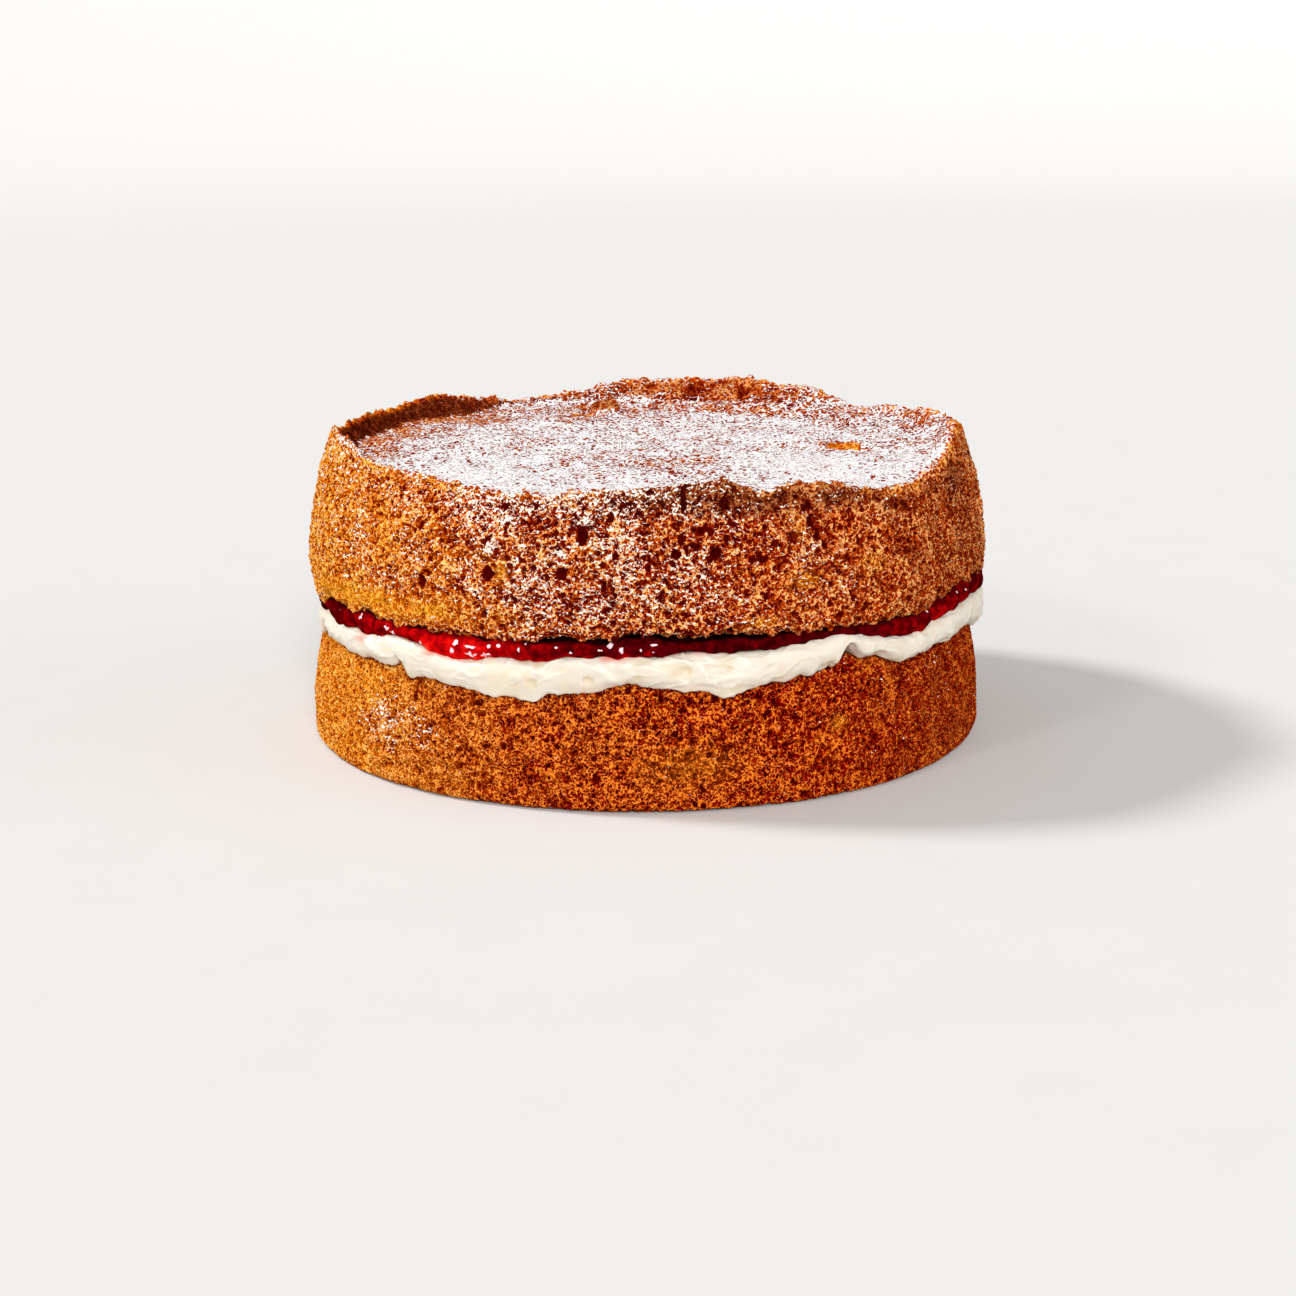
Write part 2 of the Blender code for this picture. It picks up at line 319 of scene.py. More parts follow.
class RingMesh:
    """Collects rings of points, joins them with faces and makes one mesh object."""

    def __init__(self):
        self.points = []
        self.values = {}
        self.faces = []
        self.creases = []
        self.count = 0

    def add_ring(self, ring, values):
        """Adds a ring of points with its named values, and returns their numbers."""
        numbers = np.arange(self.count, self.count + len(ring))
        self.points.append(ring)
        for name, value in values.items():
            self.values.setdefault(name, []).append(value)
        self.count += len(ring)
        return numbers

    def add_row(self, grid, values, row, stride):
        """Adds every stride-th point of one row of a grid."""
        return self.add_ring(grid[::stride, row], sampled(values, row, stride))

    def add_faces(self, corners, flip):
        """Adds faces of four corners, or of three where the last two are the same."""
        faces = np.stack(corners, -1)
        self.faces.append(faces[:, [1, 0, 3, 2]] if flip else faces)

    def join(self, lower, upper):
        """Faces between two rings, of which one may have half as many points as the other."""
        flip = len(upper) > len(lower)
        near, far = (upper, lower) if flip else (lower, upper)
        beyond = np.roll(far, -1)
        if len(near) == len(far):
            self.add_faces((near, np.roll(near, -1), beyond, far), flip)
            return
        even, middle = near[0::2], near[1::2]
        self.add_faces((far, even, middle, middle), flip)
        self.add_faces((middle, np.roll(even, -1), beyond, far), flip)

    def cap(self, ring, flip):
        """Closes a ring with a fan round its middle."""
        point = np.concatenate(self.points)[ring].mean(0, keepdims=True)
        values = {}
        for name, value in self.values.items():
            values[name] = np.concatenate(value)[ring].mean(keepdims=True)
        centre = self.add_ring(point, values)
        middle = np.full(len(ring), centre[0])
        self.add_faces((ring, np.roll(ring, -1), middle, middle), flip)

    def build(self, name):
        """The finished object, shaded smooth, with its values as point attributes."""
        faces = np.concatenate(self.faces)
        repeated = faces == np.roll(faces, -1, 1)
        mesh = bpy.data.meshes.new(name)
        mesh.vertices.add(self.count)
        mesh.vertices.foreach_set("co", np.concatenate(self.points).astype(np.float32).ravel())
        corners = faces[~repeated].astype(np.int32)
        mesh.loops.add(len(corners))
        mesh.loops.foreach_set("vertex_index", corners)
        mesh.polygons.add(len(faces))
        sizes = 4 - repeated.sum(1)
        starts = np.concatenate([[0], np.cumsum(sizes)[:-1]]).astype(np.int32)
        mesh.polygons.foreach_set("loop_start", starts)
        mesh.update(calc_edges=True)
        mesh.shade_smooth()
        store_values(mesh, {key: np.concatenate(value) for key, value in self.values.items()})
        self.crease(mesh)
        return placed(name, mesh)

    def crease(self, mesh):
        """Keeps the shading of hidden faces from bending that of the faces that show."""
        if not self.creases:
            return
        on_crease = np.zeros(self.count, bool)
        on_crease[np.concatenate(self.creases)] = True
        ends = np.zeros(2 * len(mesh.edges), np.int32)
        mesh.edges.foreach_get("vertices", ends)
        sharp = on_crease[ends.reshape(-1, 2)].all(1)
        mesh.attributes.new("sharp_edge", "BOOLEAN", "EDGE").data.foreach_set("value", sharp)


# Rows where nothing shows: how far along they lie, and of how many points they use one.
HIDDEN_SHARES = np.array([0.03, 0.09, 0.2, 0.4, 0.7])
HIDDEN_STRIDES = [2, 4, 8, 16, 32]
HIDDEN_ROWS = len(HIDDEN_STRIDES)


def side_rows(low_way, under, high_way, over, fine):
    """A function that chooses rows of an outline, fine where the layer shows and coarse elsewhere.

    The fine rows start a length under before the outline's furthest point in the direction
    low_way, and end a length over beyond its furthest point in the direction high_way.
    """

    def rows(outline):
        low = corner_distance(outline, low_way) - under
        high = corner_distance(outline, high_way) + over
        end = along(outline)[-1]
        inward = low - low * HIDDEN_SHARES[::-1]
        onward = high + (end - high) * HIDDEN_SHARES
        return np.concatenate([inward, np.linspace(low, high, fine), onward])

    return rows


def shown_rows(grid):
    """1 for the fine rows of a grid whose rows side_rows chose, and 0 for the hidden ones."""
    row = np.arange(grid.shape[1])
    return ((row >= HIDDEN_ROWS) & (row < len(row) - HIDDEN_ROWS))[None, :]


def full_shell(name, grid, values):
    """A closed piece from a grid whose rows side_rows chose."""
    fine = grid.shape[1] - 2 * HIDDEN_ROWS
    strides = HIDDEN_STRIDES[::-1] + [1] * fine + HIDDEN_STRIDES
    shell = RingMesh()
    previous = None
    for row, stride in enumerate(strides):
        ring = shell.add_row(grid, values, row, stride)
        if previous is None:
            shell.cap(ring, flip=True)
        else:
            shell.join(previous, ring)
        previous = ring
    shell.cap(previous, flip=False)
    return shell.build(name)


# ---- The relief of the crumb ----


def foam(points, cell, smallest, largest, ragged, seed):
    """Depth in mm that ragged bubbles of a foam reach in at points. Cell is their spacing in mm."""
    size = cell * MM
    pushed = warped(points, size * 1.2, size * ragged, seed)
    return bubbles(pushed, size, smallest, largest, seed + 5) / MM


def crumb_depth(points, openness, seed):
    """Depth in mm of the pits of crumb. Openness, 0 to 1, makes it coarser and deeper."""
    folds = np.abs(noise(points, 1.9 * MM, seed)) * 2.2
    medium = foam(points, 2.8, 0.10, 0.48, 0.4, seed + 20)
    large = foam(points, 5.0, 0.0, 0.30, 0.25, seed + 40)
    depth = folds * (0.6 + 0.4 * openness) + medium * (0.15 + 0.75 * openness)
    return np.maximum(depth, large * (0.3 + 1.2 * openness))


# ---- Materials ----


def colour(red, green, blue):
    """A colour given in 0 to 255 screen values, as the light it stands for."""
    shares = [part / 255.0 for part in (red, green, blue)]
    linear = [part / 12.92 if part < 0.04 else ((part + 0.055) / 1.055) ** 2.4 for part in shares]
    return (*linear, 1.0)


class Nodes:
    """Adds nodes to one new material. Each call gives the new node's first output."""

    def __init__(self, name):
        self.material = bpy.data.materials.new(name)
        self.material.use_nodes = True
        self.tree = self.material.node_tree
        self.shader = self.tree.nodes["Principled BSDF"]
        self.place = self.add("ShaderNodeTexCoord").node.outputs["Object"]

    def feed(self, socket, value):
        """Links a socket to an output, or sets it to a number or colour."""
        if isinstance(value, bpy.types.NodeSocket):
            self.tree.links.new(value, socket)
        else:
            socket.default_value = value

    def add(self, kind, inputs=None, **settings):
        """Adds a node with its settings and inputs."""
        node = self.tree.nodes.new(kind)
        for name, value in settings.items():
            setattr(node, name, value)
        for name, value in (inputs or {}).items():
            self.feed(node.inputs[name], value)
        return node.outputs[0]

    def value(self, name):
        """A named value of the mesh's points."""
        return self.add("ShaderNodeAttribute", attribute_name=name).node.outputs["Fac"]

    def math(self, operation, first, second=0.0):
        """A difference, product or other operation on two numbers."""
        return self.add("ShaderNodeMath", {0: first, 1: second}, operation=operation)

    def weighted(self, *terms):
        """The sum of (weight, number) terms."""
        total = 0.0
        for weight, number in terms:
            inputs = {0: number, 1: weight, 2: total}
            total = self.add("ShaderNodeMath", inputs, operation="MULTIPLY_ADD")
        return total

    def moved(self, x, y, z):
        """The place of the shaded point, moved by a fixed step."""
        return self.add("ShaderNodeVectorMath", {0: self.place, 1: (x, y, z)}, operation="ADD")

    def noise(self, size, detail=2.0, roughness=0.5, place=None):
        """Noise, about -0.5 to 0.5, whose features are about as large as size."""
        inputs = {"Vector": place or self.place, "Scale": 1.0 / size}
        inputs.update({"Detail": detail, "Roughness": roughness})
        return self.math("SUBTRACT", self.add("ShaderNodeTexNoise", inputs), 0.5)

    def ragged(self, size, reach):
        """The place of the shaded point, pushed about by noise."""
        inputs = {"Vector": self.place, "Scale": 1.0 / size, "Detail": 1.0}
        push = self.add("ShaderNodeTexNoise", inputs).node.outputs["Color"]
        centred = self.add("ShaderNodeVectorMath", {0: push, 1: (0.5, 0.5, 0.5)}, operation="SUBTRACT")
        scaled = self.add("ShaderNodeVectorMath", {0: centred, "Scale": 2.0 * reach}, operation="SCALE")
        return self.add("ShaderNodeVectorMath", {0: self.place, 1: scaled}, operation="ADD")

    def holes(self, size, share):
        """1 inside ragged round holes in every other cell of a size. Share makes them wider."""
        inputs = {"Vector": self.ragged(0.6 * size, 0.2 * size), "Scale": 1.0 / size}
        cells = self.add("ShaderNodeTexVoronoi", inputs).node
        chance = self.math("SUBTRACT", cells.outputs["Color"], 0.42)
        radius = self.math("MULTIPLY", chance, share)
        return self.step(self.math("SUBTRACT", radius, cells.outputs["Distance"]), -0.03, 0.06)

    def step(self, value, low, high, start=0.0, end=1.0):
        """A smooth change from start to end as value goes from low to high."""
        inputs = {"Value": value, "From Min": low, "From Max": high, "To Min": start, "To Max": end}
        return self.add("ShaderNodeMapRange", inputs, interpolation_type="SMOOTHSTEP")

    def mix(self, share, first, second):
        """Two colours mixed by a share."""
        return self.add("ShaderNodeMixRGB", {0: share, 1: first, 2: second})

    def ramp(self, value, *stops):
        """A colour read from (position, red, green, blue) stops."""
        node = self.add("ShaderNodeValToRGB", {"Fac": value}).node
        elements = node.color_ramp.elements
        elements.remove(elements[1])
        for number, (position, *shade) in enumerate(stops):
            element = elements.new(position) if number else elements[0]
            element.position = position
            element.color = colour(*shade)
        return node.outputs["Color"]

    def bump(self, height, distance, strength=1.0):
        """A normal bent by a height."""
        inputs = {"Height": height, "Distance": distance, "Strength": strength}
        return self.add("ShaderNodeBump", inputs)

    def finish(self, **inputs):
        """Feeds the shader's sockets, named with _ for spaces, and gives the material."""
        for name, value in inputs.items():
            self.feed(self.shader.inputs[name.replace("_", " ")], value)
        return self.material


# Colours of crumb from its ridges, at 0, down into its pits, at 1: darker into the pits as painted
# shade.
GOLDEN = (
    (0.0, 253, 192, 100),
    (0.25, 240, 146, 26),
    (0.5, 206, 97, 0),
    (0.75, 160, 48, 0),
    (1.0, 98, 8, 0),
)
BROWNED = (
    (0.0, 255, 190, 118),
    (0.25, 214, 98, 18),
    (0.5, 168, 44, 0),
    (0.75, 124, 16, 0),
    (1.0, 82, 3, 0),
)
DEEP_BROWNED = (
    (0.0, 240, 128, 38),
    (0.25, 174, 42, 0),
    (0.5, 132, 5, 0),
    (0.75, 98, 0, 0),
    (1.0, 54, 0, 0),
)
CRUST = (
    (0.0, 152, 72, 36),
    (0.5, 94, 29, 9),
    (1.0, 56, 8, 2),
)
TORN = (
    (0.0, 246, 174, 56),
    (0.5, 212, 116, 8),
    (1.0, 140, 44, 0),
)
# Jam from dark to bright: thicker to thinner, and painted shade to painted light.
JAM = (
    (0.0, 44, 0, 2),
    (0.3, 84, 0, 4),
    (0.55, 146, 2, 5),
    (0.8, 206, 8, 8),
    (1.0, 236, 66, 34),
)
DUSTING = colour(255, 246, 234)
HEAPED_SUGAR = colour(230, 227, 228)
SHADED_SUGAR = colour(206, 132, 96)
CREAM_RIDGE = colour(212, 204, 190)
CREAM_HOLLOW_SHADE = colour(205, 190, 161)
JAM_STAIN = colour(226, 118, 96)
PAINTED_GLINT_COLOUR = colour(255, 222, 230)
FLOOR_COLOURS = (colour(205, 204, 202), colour(207, 206, 205))
# Where on the crumb's colours, from 0 to 1, the colour of a hole lies.
HOLE_SHADE = 0.92


def sponge_material(name, sizes, contrast, browned_stops, sugar_colour):
    """Browned crumb with golden ridges and pits painted dark as shade, dusted with icing sugar.

    The mesh says how deep, baked and shaded, open, torn and sugared each point is. The sizes, in mm,
    are those of the crumb's ridges, its holes and the ledges that sugar lies on.
    """
    nodes = Nodes(name)
    ridge_size, hole_size, dust_size = (size * MM for size in sizes)

    def fold(size, place):
        """How far from the nearest ridge of the crumb a place is: the ridges wind about like worms."""
        return nodes.math("ABSOLUTE", nodes.noise(size, 1.0, 0.5, place))

    pore = nodes.step(fold(ridge_size, nodes.place), 0.0, 0.17)
    grain = nodes.noise(0.5 * MM, 3.0, 0.6)
    patches = nodes.noise(6.0 * MM, 4.0, 0.65)
    hole = nodes.holes(hole_size, nodes.value("open"))

    pit = nodes.value("pit")
    # Deep values, in pits and holes, take the darker colours of the ramps: painted shade.
    deep = nodes.weighted((0.44, pit), (0.55, pore), (1.2, grain), (0.8, patches))
    spread = nodes.weighted((0.5 * contrast, nodes.value("open")), (0.65 * contrast, 1.0))
    deep = nodes.math("MULTIPLY", nodes.math("SUBTRACT", deep, 0.5), spread)
    deep = nodes.math("ADD", deep, 0.5)
    deep = nodes.math("MAXIMUM", deep, nodes.math("MULTIPLY", hole, HOLE_SHADE))
    tones = (GOLDEN, browned_stops, CRUST, TORN)
    golden, browned, crust, torn = (nodes.ramp(deep, *stops) for stops in tones)
    bake_and_shade = nodes.value("bake_and_shade")
    crumb = nodes.mix(nodes.step(bake_and_shade, 0.0, 1.0), golden, browned)
    crumb = nodes.mix(nodes.step(bake_and_shade, 1.0, 2.0), crumb, crust)
    crumb = nodes.mix(nodes.value("torn"), crumb, torn)

    # Where the relief falls away upwards there is a ledge, and sugar settles on it.
    above = fold(dust_size, nodes.moved(0.0, 0.0, 0.28 * dust_size))
    ledge = nodes.math("SUBTRACT", above, fold(dust_size, nodes.place))
    dust = nodes.noise(1.8 * dust_size, 4.0, 0.7)
    sugar = nodes.weighted((1.0, nodes.value("sugar")), (6.5, ledge), (1.8, dust), (-0.45, pore),
                           (-0.2, pit), (-0.6, hole))
    sugared = nodes.step(sugar, 0.30, 0.45)
    shaded = nodes.mix(nodes.step(deep, 0.45, 0.95), sugar_colour, SHADED_SUGAR)
    base = nodes.mix(sugared, crumb, shaded)

    relief = nodes.weighted((-0.8, pore), (0.5, grain), (0.3, sugared), (-1.4, hole))
    return nodes.finish(Base_Color=base, Roughness=0.95, Specular_IOR_Level=0.0,
                        Normal=nodes.bump(relief, 0.6 * MM))


def cream_material():
    """Whipped cream, painted darker and yellower in its hollows as shade, and stained pink where jam
    has run into it.
    """
    nodes = Nodes("cream")
    cloud = nodes.noise(6.0 * MM)
    share = nodes.weighted((1.2, nodes.value("hollow")), (1.6, cloud))
    # Hollows come out darker and yellower: painted shade.
    base = nodes.mix(nodes.step(share, -0.4, 0.9), CREAM_RIDGE, CREAM_HOLLOW_SHADE)
    base = nodes.mix(nodes.value("stain"), base, JAM_STAIN)
    bump = nodes.bump(nodes.noise(1.6 * MM), 0.12 * MM, 0.5)
    nodes.shader.inputs["Subsurface Radius"].default_value = (1.0, 0.7, 0.4)
    nodes.shader.inputs["Subsurface Scale"].default_value = 2.0 * MM
    return nodes.finish(Base_Color=base, Roughness=0.42, Normal=bump, Subsurface_Weight=0.2)


def jam_material():
    """Glossy strawberry jam, bright where thinner and nearly black where thicker, with painted light
    and shade and painted white glints under a real coat.
    """
    nodes = Nodes("jam")
    cloud = nodes.noise(3.0 * MM)
    fine = nodes.noise(1.3 * MM)
    share = nodes.weighted((1.0, nodes.value("thin_and_painted_light")), (1.0, cloud), (0.5, fine))
    base = nodes.ramp(share, *JAM)
    bump = nodes.bump(nodes.weighted((1.0, cloud), (0.5, fine)), 0.4 * MM)
    # Glints: pinkish white painted into the base colour as highlights, with a real glossy coat on the
    # same spots.
    ragged = nodes.weighted((1.0, nodes.value("glint")), (1.3, nodes.noise(0.8 * MM, 2.0)))
    glint = nodes.step(ragged, 0.55, 0.70)
    base = nodes.mix(nodes.math("MULTIPLY", glint, 0.9), base, PAINTED_GLINT_COLOUR)
    return nodes.finish(Base_Color=base, Roughness=0.5, Specular_IOR_Level=0.0, Normal=bump,
                        Coat_Weight=glint, Coat_Roughness=0.1, Coat_Normal=bump)


def floor_material():
    """Plain pale card with a barely visible tooth."""
    nodes = Nodes("floor")
    tooth = nodes.math("ADD", nodes.noise(30.0 * MM, 3.0), 0.5)
    base = nodes.mix(tooth, *FLOOR_COLOURS)
    return nodes.finish(Base_Color=base, Roughness=0.9, Specular_IOR_Level=0.1)


# ---- The upper sponge ----

CUT_ROWS = 10
WALL_ROWS = 78
CRUST_ROWS = 150
CREST_ROW = CUT_ROWS + WALL_ROWS
CUT_TUCK = 6.0 * MM
THINNING_RADIUS = 66.0 * MM
CRUST_THICKNESS = 5.5 * MM
# Rings that close the wall through the crumb: share of the way down, and stride.
WALL_BACK = ((0.2, 2), (0.5, 4), (0.8, 2))
# Rings under the crust: rows in from the crest, and stride.
CRUST_UNDERSIDE = ((0, 2), (12, 4), (40, 8), (80, 16), (120, 32))

# Bubbles that broke open.
WALL_PITS = (
    (-9.9, 74.3, 1.5, 2.5, 3.4),
    (-37.1, 59.5, 1.5, 1.8, 2.6),
    (-12.9, 64.5, 1.6, 1.7, 2.4),
    (-25.0, 63.4, 1.5, 2.2, 2.6),
    (-6.5, 61.5, 0.9, 1.8, 2.0),
    (-4.7, 69.3, 0.9, 0.9, 1.8),
    (-22.6, 80.6, 1.5, 0.9, 2.0),
    (-17.3, 80.9, 1.0, 0.9, 1.8),
    (-9.7, 81.4, 0.6, 1.1, 1.6),
    (-3.7, 85.0, 1.1, 0.7, 1.6),
    (0.5, 85.2, 1.2, 0.8, 1.8),
    (1.8, 79.8, 0.9, 0.7, 1.6),
    (5.8, 83.4, 0.9, 3.2, 3.0),
    (12.2, 81.8, 1.4, 1.7, 2.8),
    (8.3, 75.3, 1.1, 1.1, 2.0),
    (5.2, 73.2, 0.9, 1.5, 2.2),
    (4.3, 69.6, 1.3, 1.3, 2.4),
    (10.5, 69.6, 1.4, 1.5, 3.0),
    (12.2, 73.0, 0.8, 1.0, 1.8),
    (17.8, 67.2, 1.1, 1.0, 2.0),
    (23.8, 81.8, 0.8, 0.8, 1.8),
    (26.0, 80.0, 0.9, 1.3, 2.2),
    (26.2, 76.0, 0.9, 1.7, 2.8),
    (27.2, 72.3, 0.9, 1.6, 2.8),
    (28.2, 69.3, 0.7, 0.9, 1.8),
    (0.2, 66.4, 0.9, 0.9, 1.6),
    (-43.0, 83.0, 0.8, 1.1, 1.8),
    (-38.0, 74.0, 0.8, 1.4, 1.8),
)
# Where the cut edge is worn back.
CUT_NOTCH = (10.5, 47.6, 12.0, 1.7)
# Bare golden crumb where skin has come away.
TORN_SPOTS = (
    (-22.6, 63.9, 1.6, 2.2, 1.0),
    (-26.0, 67.5, 2.4, 2.2, 0.5),
    (-34.8, 51.8, 5.0, 2.2, 1.0),
    (-52.0, 51.5, 14.0, 3.0, 0.8),
    (-66.0, 49.0, 5.0, 4.0, 0.9),
    (-62.0, 63.0, 3.0, 5.0, 0.5),
    (-15.0, 68.5, 2.0, 1.8, 0.5),
    (-7.6, 71.5, 1.8, 1.2, 0.5),
    (17.2, 50.6, 4.6, 1.1, 0.7),
    (24.4, 60.8, 4.0, 2.0, 0.8),
    (23.8, 74.5, 1.4, 2.2, 0.6),
    (37.0, 63.0, 4.0, 3.0, 0.4),
    (19.0, 84.5, 1.8, 0.9, 0.9),
    (-31.0, 84.0, 4.0, 1.2, 0.6),
)
# Ledges where icing sugar has heaped.
SUGAR_SPOTS = (
    (-24.2, 69.6, 2.4, 1.2, 0.8),
    (-13.6, 69.5, 2.2, 1.0, 0.8),
    (-9.5, 77.6, 2.0, 0.7, 0.9),
    (-6.6, 72.2, 1.8, 1.1, 0.8),
    (-22.0, 77.0, 2.4, 0.7, 0.7),
    (26.2, 69.9, 1.8, 0.9, 0.8),
    (-38.0, 66.0, 5.0, 3.0, 0.3),
    (13.0, 51.0, 9.0, 1.0, 0.5),
    (0.0, 57.0, 12.0, 3.0, 0.15),
)
# Bare crumb among the sugar.
BARE_SPOTS = (
    (-24.5, 63.8, 3.6, 3.6, 0.9),
    (-16.5, 75.0, 4.5, 3.0, 0.35),
    (20.0, 60.0, 5.0, 4.0, 0.35),
    (-33.0, 53.0, 8.0, 3.0, 0.5),
)
# Humps of sugar round the side, and of darker colour: browner baking, and on the right also painted
# shade.
SIDE_SUGAR = (
    (-12.0, 0.70, 34.0),
    (-64.0, 0.26, 20.0),
    (170.0, 0.30, 70.0),
    (62.0, -0.28, 34.0),
)
SIDE_BAKE_AND_SHADE = (
    (-75.0, -0.80, 38.0),
    (62.0, 0.62, 38.0),
)
# Humps of the rim's crest, in mm.
CREST_STEPS = (
    (-19.0, 1.0, 3.4),
    (31.5, 1.1, 4.5),
    (18.5, -0.6, 1.6),
    (24.0, 0.5, 2.0),
)
# Hollows of the crust, or below 0 its lumps: x, y, half width, half length and depth, in mm.
CRUST_HOLLOWS = (
    (-13.3, 66.0, 6.0, 6.0, -3.0),
    (-20.0, 60.0, 4.0, 5.0, 0.7),
    (58.5, -9.0, 5.6, 8.0, 4.0),
    (52.5, -8.0, 2.6, 3.0, -1.3),
    (63.5, -12.5, 2.4, 2.6, 1.6),
)
# Where much sugar or little lies on the crust: x, y, half width across, half width deep, amount.
CRUST_SUGAR = (
    (-50.0, -46.0, 26.0, 24.0, 0.70),
    (-22.0, -72.0, 30.0, 12.0, 0.50),
    (52.0, -56.0, 30.0, 26.0, 0.65),
    (36.0, -30.0, 16.0, 16.0, 0.35),
    (36.0, 36.0, 26.0, 22.0, 0.12),
    (-24.0, 16.0, 22.0, 16.0, 0.12),
    (6.0, -34.0, 24.0, 15.0, -0.50),
    (-78.0, 10.0, 14.0, 28.0, -0.30),
    (-62.0, 54.0, 16.0, 16.0, -0.35),
    (-40.0, 58.0, 34.0, 18.0, -0.32),
    (-14.0, 66.0, 14.0, 12.0, -0.30),
    (84.0, 20.0, 9.0, 30.0, -0.20),
)


def upper_rows(outline):
    """Rows from under the cut edge up the side to the rim's crest, and over the crust."""
    corner = corner_distance(outline, (1.0, -1.0))
    crest = corner_distance(outline, (0.8, 1.0))
    return np.concatenate([
        np.linspace(corner - CUT_TUCK, corner, CUT_ROWS, endpoint=False),
        np.linspace(corner, crest, WALL_ROWS, endpoint=False),
        np.linspace(crest, along(outline)[-1], CRUST_ROWS, endpoint=False),
    ])


class UpperZones:
    """Which part of the upper sponge each point of its grid belongs to, as shares from 0 to 1.

    The tear is a strip of torn skin over the cut edge, the mound a puffed part of the crust at
    the back, and the left wall the steep inside of the rim. Frayed is where the rim lost its skin.
    """

    def __init__(self, grid, normals):
        at = Places(grid)
        row = np.arange(grid.shape[1])[None, :]
        self.at = at
        self.side = smooth_step(CREST_ROW + 5, CREST_ROW - 3, row)
        self.top = 1.0 - self.side
        self.crest = bell(row, CREST_ROW, 5.0)
        self.shoulder = bell(row, CREST_ROW, 14.0)
        self.cut = bell(row, CUT_ROWS, 5.0)
        self.tear = at.hump(-52.0, 24.0) * bell(at.height, 51.0, 3.2)
        self.mound = smooth_step(56.0, 70.0, at.radius) * at.hump(152.0, 42.0)
        self.slope = smooth_step(0.95, 0.72, normals[..., 2]) * self.top
        steep = smooth_step(0.99, 0.86, normals[..., 2] + 0.05 * at.noise(5.0, 92))
        self.left_wall = steep * self.top * at.hump(-108.0, 50.0)
        edge = self.crest * smooth_step(CREST_ROW + 6, CREST_ROW + 2, row)
        self.frayed = edge * (1.0 - 0.8 * at.hump(8.0, 34.0))
        self.hollows = self.crust_hollows()

    def crust_hollows(self):
        """Depth in mm of the hollows of the crust, below 0 in its lumps."""
        ragged = Places(warped(self.at.points, 4.0 * MM, 1.6 * MM, 91))
        total = np.zeros(self.at.x.shape)
        for x, y, half_x, half_y, depth in CRUST_HOLLOWS:
            inside = 1.0 - ((ragged.x - x) / half_x) ** 2 - ((ragged.y - y) / half_y) ** 2
            total += depth * smooth_step(0.0, 0.6, inside)
        return total * self.top


def crust_depth(grid, zones):
    """Depth in mm of the pitted, wavy skin of the crust, without its hollows."""
    at = zones.at
    crust = foam(grid, 1.7, 0.1, 0.46, 0.35, 300) * 0.6 - at.noise(1.3, 17) * 0.22
    crust -= at.fractal(9.0, 2, 19) * 0.35
    crust -= zones.mound * at.noises((1.9, 7.0, 21), (0.9, 3.0, 22))
    crust -= np.abs(zones.hollows) * at.noise(2.4, 24) * 0.5
    broken_wall = foam(grid, 2.6, 0.1, 0.5, 0.3, 340) * 1.1 - at.noise(2.0, 23) * 0.4
    return crust + zones.left_wall * broken_wall


def upper_relief(grid, normals, zones):
    """The upper sponge's points with their relief, how deep each lies and how open the crumb is."""
    at = zones.at
    openness = 0.42 + 0.48 * at.hump(2.0, 34.0) + 0.25 * at.noise(22.0, 3)
    openness = np.clip(openness, 0.0, 1.0)
    broken = at.pits(WALL_PITS) * zones.side
    wall = np.maximum(crumb_depth(grid, openness, 100), broken * (1.0 - 0.65 * zones.shoulder))
    wall = wall * (zones.side * (1.0 - 0.6 * zones.tear))
    crust = crust_depth(grid, zones)
    settled = 1.0 - 0.4 * zones.crest - 0.2 * zones.shoulder
    pit = (wall + np.maximum(crust, 0.0) * zones.top) * settled
    depth = (wall + crust * zones.top) * settled + zones.hollows
    depth += 1.6 * at.spot(*CUT_NOTCH) * zones.side

    rough = at.noises((0.7, 20.0, 11), (0.4, 7.0, 12), (0.25, 1.2, 15))
    rough += at.noise(3.4, 16) * 0.5 * at.hump(-88.0, 26.0)
    rough += at.noise(3.0, 18) * 0.3 * at.hump(85.0, 24.0)
    rough += zones.crest * at.noises((0.9, 2.3, 71), (0.7, 6.0, 72))
    rough += zones.cut * at.noises((0.9, 1.7, 73), (1.3, 4.5, 74))
    relief = grid - normals * ((depth - rough) * MM)[..., None]
    hang = 0.3 + at.noises((0.5, 2.0, 75), (0.7, 4.6, 76), (0.8, 12.0, 77))
    hang = zones.cut * np.clip(hang, -0.5, 2.0)
    relief[..., 2] += (at.humps(CREST_STEPS) * zones.shoulder - hang) * MM
    # The pit value, raised in broken bubbles and on the rim's left inner wall, darkens the colour
    # there: painted shade.
    return relief, pit + broken + 0.8 * zones.left_wall, openness


